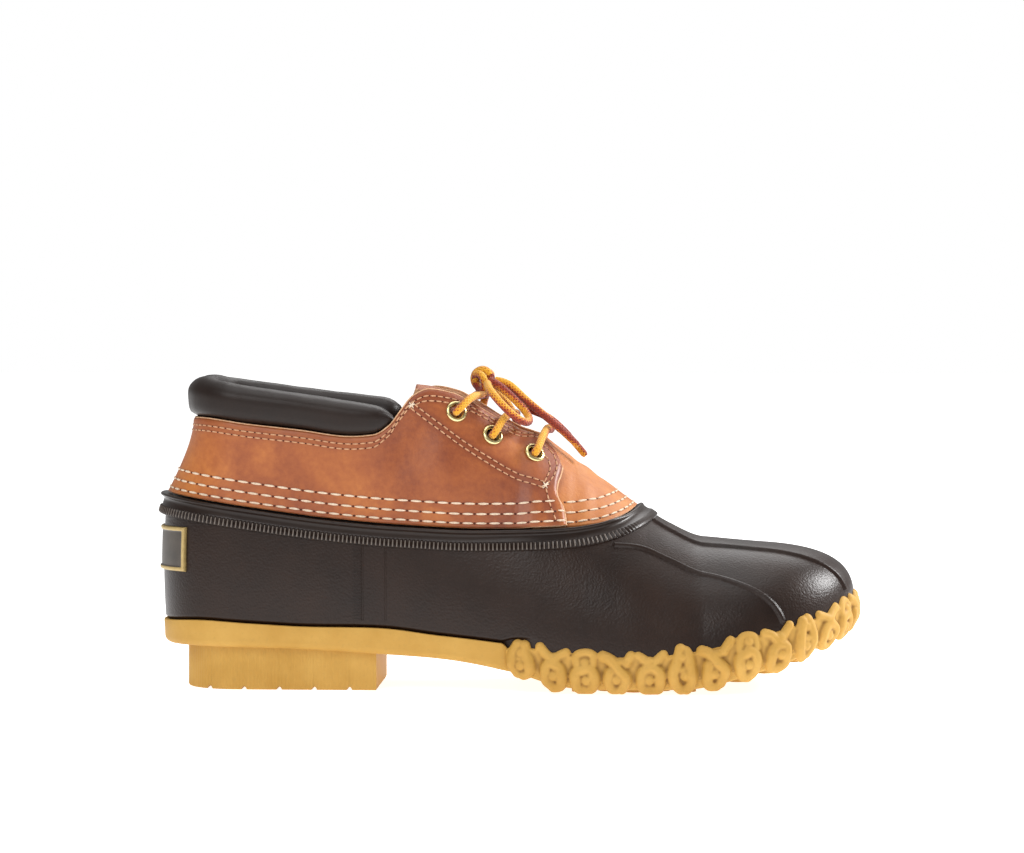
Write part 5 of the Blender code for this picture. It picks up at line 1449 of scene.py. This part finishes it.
# Padded collar: foam in a thin leather cover, gathered where it rolls over
collar = {"front": 0.3390, "bulge": 2.6 * mm, "thick": 11.0 * mm, "tuck": 8.5 * mm, "gap": 0.8 * mm,
          "least": 1.5 * mm, "full": 16.0 * mm, "crease": 0.5 * mm, "points": 44, "closing": 4}
collarSection = (  # shares of the swell, of the depth (inwards), of the height, and of the tuck (downwards)
    (0.00, 0.00, 0.00, 1), (0.00, 0.00, 0.00, 0), (0.80, 0.00, 0.15, 0), (1.00, 0.00, 0.42, 0),
    (0.96, 0.00, 0.74, 0), (0.45, 0.10, 0.95, 0), (0.00, 0.38, 1.00, 0), (0.00, 0.75, 0.88, 0),
    (0.00, 1.00, 0.55, 0), (0.00, 1.00, 0.00, 0), (0.00, 0.75, 0.00, 1),
)


def collarOutline(s):
    rays = Rays(s)
    x = rays.plan(rays.atAngle(rays.angleOf(edgeHeight))[0])[0]
    at, edge = x / last["length"], edgeHeight(x)
    top = last["collarHeight"] * np.where(rays.side < 0, collarLateral(at), collarMedial(at))
    tall = np.maximum(top - edge, collar["least"])
    seat = -leather["wall"] - collar["gap"]
    swell = (collar["bulge"] - seat) * np.minimum(tall / collar["full"], 1.0)
    depth = np.minimum(collar["thick"], 0.75 * tall + collar["least"])
    points = []
    for k, (outwards, inwards, rise, tuck) in enumerate(collarSection):
        height = edge + rise * tall - tuck * collar["tuck"] - (collar["crease"] if k == 1 else 0.0)
        reach = rays.atAngle(rays.angleOf(lambda _: height))[0]
        px, py = rays.plan(reach + seat + outwards * swell - inwards * depth)
        points.append(np.stack([px - last["originFromBack"], py, height], -1))
    return np.array(points)


def collarMesh():
    end = placeOf(collar["front"] * last["length"])
    ring, count = np.linspace(-end, end, 221), collar["points"]
    outline = collarOutline(ring)  # outline point, ray, axis
    columns = []
    for k in range(len(ring)):
        column = throughPoints(outline[:, k], count + 1, closed=True)
        middle = column[:-1].mean(0)
        near = min(k, len(ring) - 1 - k) / collar["closing"]
        scale = math.sqrt(max(1 - (1 - min(near, 1.0)) ** 2, 0.0))  # the ends are rounded off
        columns.append(middle + (column - middle) * scale)
    columns = np.array(columns)

    def place(u, v):
        i, j = cell(u, len(ring) - 1), cell(v, count)
        points = columns[i, j % count]
        away = points - columns[i].mean(1)
        away /= np.maximum(np.linalg.norm(away, axis=1, keepdims=True), 1e-9)
        folds = bumps(points * (1, 1, 0.25), 0.0050, 4.0) * 0.16 * mm  # folds run up and down
        soft = bumps(points, 0.020, 8.0) * 0.35 * mm
        return points + away * (folds * ease(np.minimum(u, 1 - u) / 0.08) + soft - 0.20 * mm)[:, None]

    mesh = gridMesh(len(ring) - 1, count, place)
    bmesh.ops.recalc_face_normals(mesh, faces=mesh.faces)
    return mesh


collarPiece = newObject("padded_collar", collarMesh(), collarLeather, 80)
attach(collarPiece, "root")
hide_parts("collar")
report("collar made")


# Insole
insole = {"thick": 4.0 * mm, "seat": 0.6 * mm, "clear": 0.6 * mm}


def insoleMesh():
    ring = bothSides(pairedPlaces(20, 110, 30))
    rays = Rays(ring)
    inset = rubber["wall"] + insole["clear"] - shellOffset(rays.edgeX, floorHeight(rays.edgeX))
    low = rays.atAngle(rays.angleOf(floorHeight, 2 * last["fitGap"]))[0] - inset
    high = np.minimum(low, rays.atAngle(rays.angleOf(floorHeight, insole["thick"]))[0] - inset)
    knot = sole["floorShare"] * rays.reach  # the floor under the board bends here
    outline = ((0 * low, 0), (knot, 0), (low - 0.4 * mm, 0), (low, 0.12), (high, 0.86), (high - 0.5 * mm, 1),
               (high - 5 * mm, 1), (knot, 1), (0.5 * knot, 1), (0 * low, 1))
    reach = np.array([out for out, _ in outline])
    middle, bend, edge = (floorHeight(x) for x in (rays.x, rays.plan(knot)[0], rays.edgeX))
    inner = middle + (bend - middle) * reach / knot
    outer = bend + (edge - bend) * (reach - knot) / (rays.reach - knot)
    rise = insole["seat"] + insole["thick"] * np.array([up for _, up in outline])[:, None]
    height = np.where(reach < knot, inner, outer) + rise
    px, py = rays.plan(reach)

    def place(u, v):
        i, j = cell(u, len(ring) - 1), cell(v, len(outline) - 1)
        return np.stack([px[j, i] - last["originFromBack"], py[j, i], height[j, i]], -1)

    mesh = gridMesh(len(ring) - 1, len(outline) - 1, place)
    bmesh.ops.recalc_face_normals(mesh, faces=mesh.faces)
    return mesh


insolePiece = newObject("felt_insole", insoleMesh(), felt, 50)
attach(insolePiece, "root")
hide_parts("insole")


# Eyelets: spun brass, domed outside and rolled inside
def eyeletMesh():
    mesh = bmesh.new()
    bore, barrel, radius = eyelets["bore"], eyelets["barrel"], eyelets["radius"]
    back, gap, dome = -eyelets["leather"] - 0.5 * mm, last["fitGap"] * 0.3, lace["dome"]
    profile = [(bore, back), (barrel, back), (barrel, gap), (radius, gap),
               (radius + 0.02 * mm, gap + 0.25 * mm), (radius * 0.93, gap + dome * 0.72),
               (radius * 0.82, gap + dome * 0.98), (radius * 0.72, gap + dome),
               (bore * 1.18, gap + dome * 0.80), (bore * 1.04, gap + dome * 0.45), (bore, gap)]
    verts = [mesh.verts.new((r, 0, z)) for r, z in profile]
    edges = [mesh.edges.new((a, b)) for a, b in zip(verts, verts[1:] + verts[:1])]
    bmesh.ops.spin(mesh, geom=verts + edges, cent=(0, 0, 0), axis=(0, 0, 1), angle=2 * math.pi, steps=36,
                   use_merge=True, use_duplicate=False)
    bmesh.ops.remove_doubles(mesh, verts=mesh.verts, dist=1e-6)
    bmesh.ops.recalc_face_normals(mesh, faces=mesh.faces)
    return mesh


for side, word in ((-1, "lateral"), (1, "medial")):
    for number in range(3):
        mesh = eyeletMesh()
        bmesh.ops.transform(mesh, verts=mesh.verts, matrix=standing(*eyeletSeat(side, number)))
        ring = newObject(f"brass_eyelet_{word}_{number + 1}", mesh, brass, 45)
        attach(ring, "root")
        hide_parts(f"eyelet_{word}_{number + 1}")
report("eyelets made")


# Stitches
def bead(segments, rings):  # a small unit bead, copied for each stitch and for the painted shade in each needle hole
    mesh = bmesh.new()
    bmesh.ops.create_uvsphere(mesh, u_segments=segments, v_segments=rings, radius=1.0,
                              matrix=Matrix.Rotation(quarterTurn, 4, "Y"))
    data = bpy.data.meshes.new("bead")
    mesh.to_mesh(data)
    mesh.free()
    return data


stitchBead, holeShadeBead = bead(8, 6), bead(7, 4)


def placeBead(mesh, source, spot, along, across, out):
    data = source.copy()
    data.transform(Matrix.Translation(spot) @ Matrix((along, across, out)).transposed().to_4x4())
    mesh.from_mesh(data)
    bpy.data.meshes.remove(data)


def stitchRow(mesh, holeShades, path, normals, pitch, wide, fill=0.78, lift=0.12):
    run = runOf(path)
    count = max(int(round(run[-1] / pitch)), 1)
    step = run[-1] / count

    def at(stitches, source=path):
        return Vector(pointsAt(min(stitches * step, run[-1]), run, source))

    for i in range(count):
        along = (at(i + 0.5 + fill / 2) - at(i + 0.5 - fill / 2)) / 2
        out = at(i + 0.5, normals).normalized()
        across = out.cross(along).normalized()
        middle = at(i + 0.5) + out * lift * wide
        placeBead(mesh, stitchBead, middle, along, across * wide / 2, out * wide * 0.42)
        out = at(i + 1.0, normals).normalized()
        along = (at(i + 1.1) - at(i + 0.9)).normalized()
        across = out.cross(along).normalized()
        # a flat dark bead at each needle hole is painted shade
        size = wide * 0.56
        placeBead(holeShades, holeShadeBead, at(i + 1.0), along * size, across * size, out * 0.10 * mm)


def sidePath(points, side, out=0.0, count=120):  # a seam of side view laid on the quarter
    points = throughPoints([(x, 0.0, z) for x, z in points], count)
    s, angle = sideSpot(points[:, 0], points[:, 2], side)
    path, normals = onQuarter(s, angle)
    return path + normals * out, normals


def shiftedLine(points, shift):  # a polyline of side view moved sideways
    points = np.array(points, float)
    along = unit(np.gradient(points, axis=0))
    return points + np.stack([along[:, 1], -along[:, 0]], -1) * shift


# the third mesh holds the painted shade of the needle holes
thick, fine, holeShadeMesh = bmesh.new(), bmesh.new(), bmesh.new()
rows = {"rises": (3.2, 7.1, 11.4), "pitch": 5.7 * mm, "wide": 1.0 * mm, "finePitch": 3.2 * mm,
        "fineWide": 0.66 * mm, "below": (3.0, 5.2), "edgeEnd": 0.1608, "beside": 1.1}
tacks = {"turns": (0.3, 0.9, 2.2), "half": 1.7, "lift": 0.15 * mm, "pitch": 3.4 * mm, "wide": 0.7 * mm}


def rimRow(rise):  # the rows run round the heel and over the vamp
    s = bothSides(rimPlaces(rise))
    rays = Rays(s)
    angle = rays.angleOf(rimHeight, rise)
    leatherPoint, normal = onQuarter(s, angle)
    front = quarterFront(np.clip(rise / 0.027, 0, 1))
    past = rays.edgeX > front + 0.5 * mm
    return np.where(past[:, None], onVamp(s, rays.edgeX, angle), leatherPoint), normal


def edgeRow(side, below):  # a row along the whole upper edge
    s = side * np.concatenate([np.linspace(0, 1, 60, endpoint=False),
                               np.linspace(1, placeOf(rows["edgeEnd"]), 240)])
    rays = Rays(s)
    top = rays.angleOf(edgeHeight)
    edge, out = onLast(s, top, quarterOffset(rays.edgeX)), normalAt(s, top)
    down = np.cross(unit(np.gradient(edge, axis=0)), out)
    down *= np.where(down[:, 2:] > 0, -1.0, 1.0)
    want = edge + down * below * mm
    return onQuarter(s, rays.angleOf(lambda _: want[:, 2]))


for rise in rows["rises"]:
    stitchRow(thick, holeShadeMesh, *rimRow(rise * mm), rows["pitch"], rows["wide"], 0.80)

for side in (-1, 1):
    lines = [shiftedLine(seams["eyestay"], shift) for shift in (-rows["beside"], rows["beside"])]
    lines += [seams[name] for name in ("frontDrop", "frontOuter", "frontInner")]
    for line in lines:
        stitchRow(fine, holeShadeMesh, *sidePath(line, side), rows["finePitch"], rows["fineWide"])
    for spot in np.array((seams["eyestay"][0], seams["eyestay"][-1])):  # bar tacks where the rows meet
        for turn in tacks["turns"]:
            reach = np.array([math.cos(turn), math.sin(turn)]) * tacks["half"]
            way = sidePath([spot - reach, spot, spot + reach], side, tacks["lift"], 12)
            stitchRow(thick, holeShadeMesh, *way, tacks["pitch"], tacks["wide"], 0.95)
    for below in rows["below"]:
        stitchRow(fine, holeShadeMesh, *edgeRow(side, below), rows["finePitch"], rows["fineWide"])

stitching = (("rim_stitches", thick, thread), ("fine_stitches", fine, fineThread),
             ("needle_hole_shades", holeShadeMesh, needleHoleShade))
for name, mesh, look in stitching:
    piece = newObject(name, mesh, look, 70)
    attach(piece, "root")
report("stitches made")


# Heel badge: a plate with a raised border and a bare field
badge = {"spread": 0.56, "height": 19.0 * mm, "top": 69.0 * mm, "field": 0.8 * mm, "frame": 1.5 * mm,
         "border": 2.2 * mm, "heelRadius": 34.5 * mm, "edge": 0.7 * mm, "seat": 0.1 * mm}


def fromEdge(u, v):  # how far a point of the badge lies inside its outline
    half = badge["heelRadius"] * badge["spread"] * quarterTurn
    return np.minimum(np.minimum(u, 1 - u) * 2 * half, np.minimum(v, 1 - v) * badge["height"])


def badgePlace(u, v):
    s, inFrom = badge["spread"] * (2 * u - 1), fromEdge(u, v)
    height = badge["top"] - badge["height"] * (1 - v)
    inner = ease((inFrom - badge["border"] * 0.72) / (badge["border"] * 0.28))
    raised = badge["frame"] - (badge["frame"] - badge["field"]) * inner
    rounded = np.sqrt(np.clip(1 - (1 - np.clip(inFrom / badge["edge"], 0, 1)) ** 2, 0, 1))
    return onLast(s, Rays(s).angleOf(lambda _: height), badge["seat"] + raised * rounded)


badgeMesh = facingOut(gridMesh(120, 64, badgePlace))
uvLayer = badgeMesh.loops.layers.uv.active
for face in badgeMesh.faces:
    u, v = sum((loop[uvLayer].uv for loop in face.loops), Vector((0, 0))) / len(face.loops)
    face.material_index = 0 if fromEdge(u, v) < badge["border"] * 0.86 else 1
badgePiece = thicken(newObject("bare_heel_badge", badgeMesh, [badgeGold, badgeRubber], 60), 0.25 * mm)
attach(badgePiece, "root")
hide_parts("heel_badge")
report("badge made")


# Studio
studio = {"target": (0.09025, 0.0, 0.111), "away": 1.8, "azimuth": 2.4, "elevation": 2.0, "lens": 147.0,
          "lampTarget": (0.09, 0, 0.06), "floorGlow": 0.85, "seen": 1.0, "light": 0.36}
azimuth, elevation = math.radians(studio["azimuth"]), math.radians(studio["elevation"])
level = math.cos(elevation)
away = Vector((math.sin(azimuth) * level, -math.cos(azimuth) * level, math.sin(elevation)))
lens = bpy.data.cameras.new("camera")
lens.lens, lens.clip_end = studio["lens"], 20
camera = bpy.data.objects.new("camera", lens)
camera.location = Vector(studio["target"]) + away * studio["away"]
camera.rotation_euler = (-away).to_track_quat("-Z", "Y").to_euler()
bpy.context.scene.collection.objects.link(camera)
bpy.context.scene.camera = camera

white = colour("#FFFFFF")
floorLook = startLook("white acrylic floor", {  # lit from below, as for a catalogue
    "Roughness": 0.6, "Base Color": colour("#F2F2F2"), "Emission Color": white,
    "Emission Strength": studio["floorGlow"]})[0]
floorMesh = bmesh.new()
bmesh.ops.create_grid(floorMesh, x_segments=1, y_segments=1, size=6)
studioFloor = newObject("studio_floor", floorMesh, floorLook)

lamps = (  # name, place, size, watts
    ("key", (-0.35, -1.15, 1.05), 0.8, 10.0),
    ("toe", (0.95, 0.30, 0.62), 0.36, 13.0),
    ("back", (0.25, 0.90, 1.00), 0.7, 5.0),
    ("top", (0.10, 0.00, 1.60), 1.0, 8.0),
)
for name, spot, size, watts in lamps:
    lamp = bpy.data.lights.new(name, "AREA")
    lamp.shape, lamp.size, lamp.energy = "SQUARE", size, watts
    holder = bpy.data.objects.new(name, lamp)
    holder.location = spot
    holder.rotation_euler = (Vector(studio["lampTarget"]) - Vector(spot)).to_track_quat("-Z", "Y").to_euler()
    bpy.context.scene.collection.objects.link(holder)

world = bpy.data.worlds.new("white room")
bpy.context.scene.world = world
world.use_nodes = True
roomTree = world.node_tree
seen = roomTree.nodes["Background"]  # the camera sees a white room, which lights the boot more softly
join(roomTree, seen, {"Color": white, "Strength": studio["seen"]})
lit = add(roomTree, "Background", {"Color": white, "Strength": studio["light"]})
light = add(roomTree, "LightPath")
both = add(roomTree, "MixShader", {0: light.outputs["Is Camera Ray"], 1: lit, 2: seen})
join(roomTree, roomTree.nodes["World Output"], {"Surface": both})

bpy.context.scene.view_settings.view_transform = "Standard"  # keeps the colours as they are given
bpy.context.view_layer.update()
report("studio set")
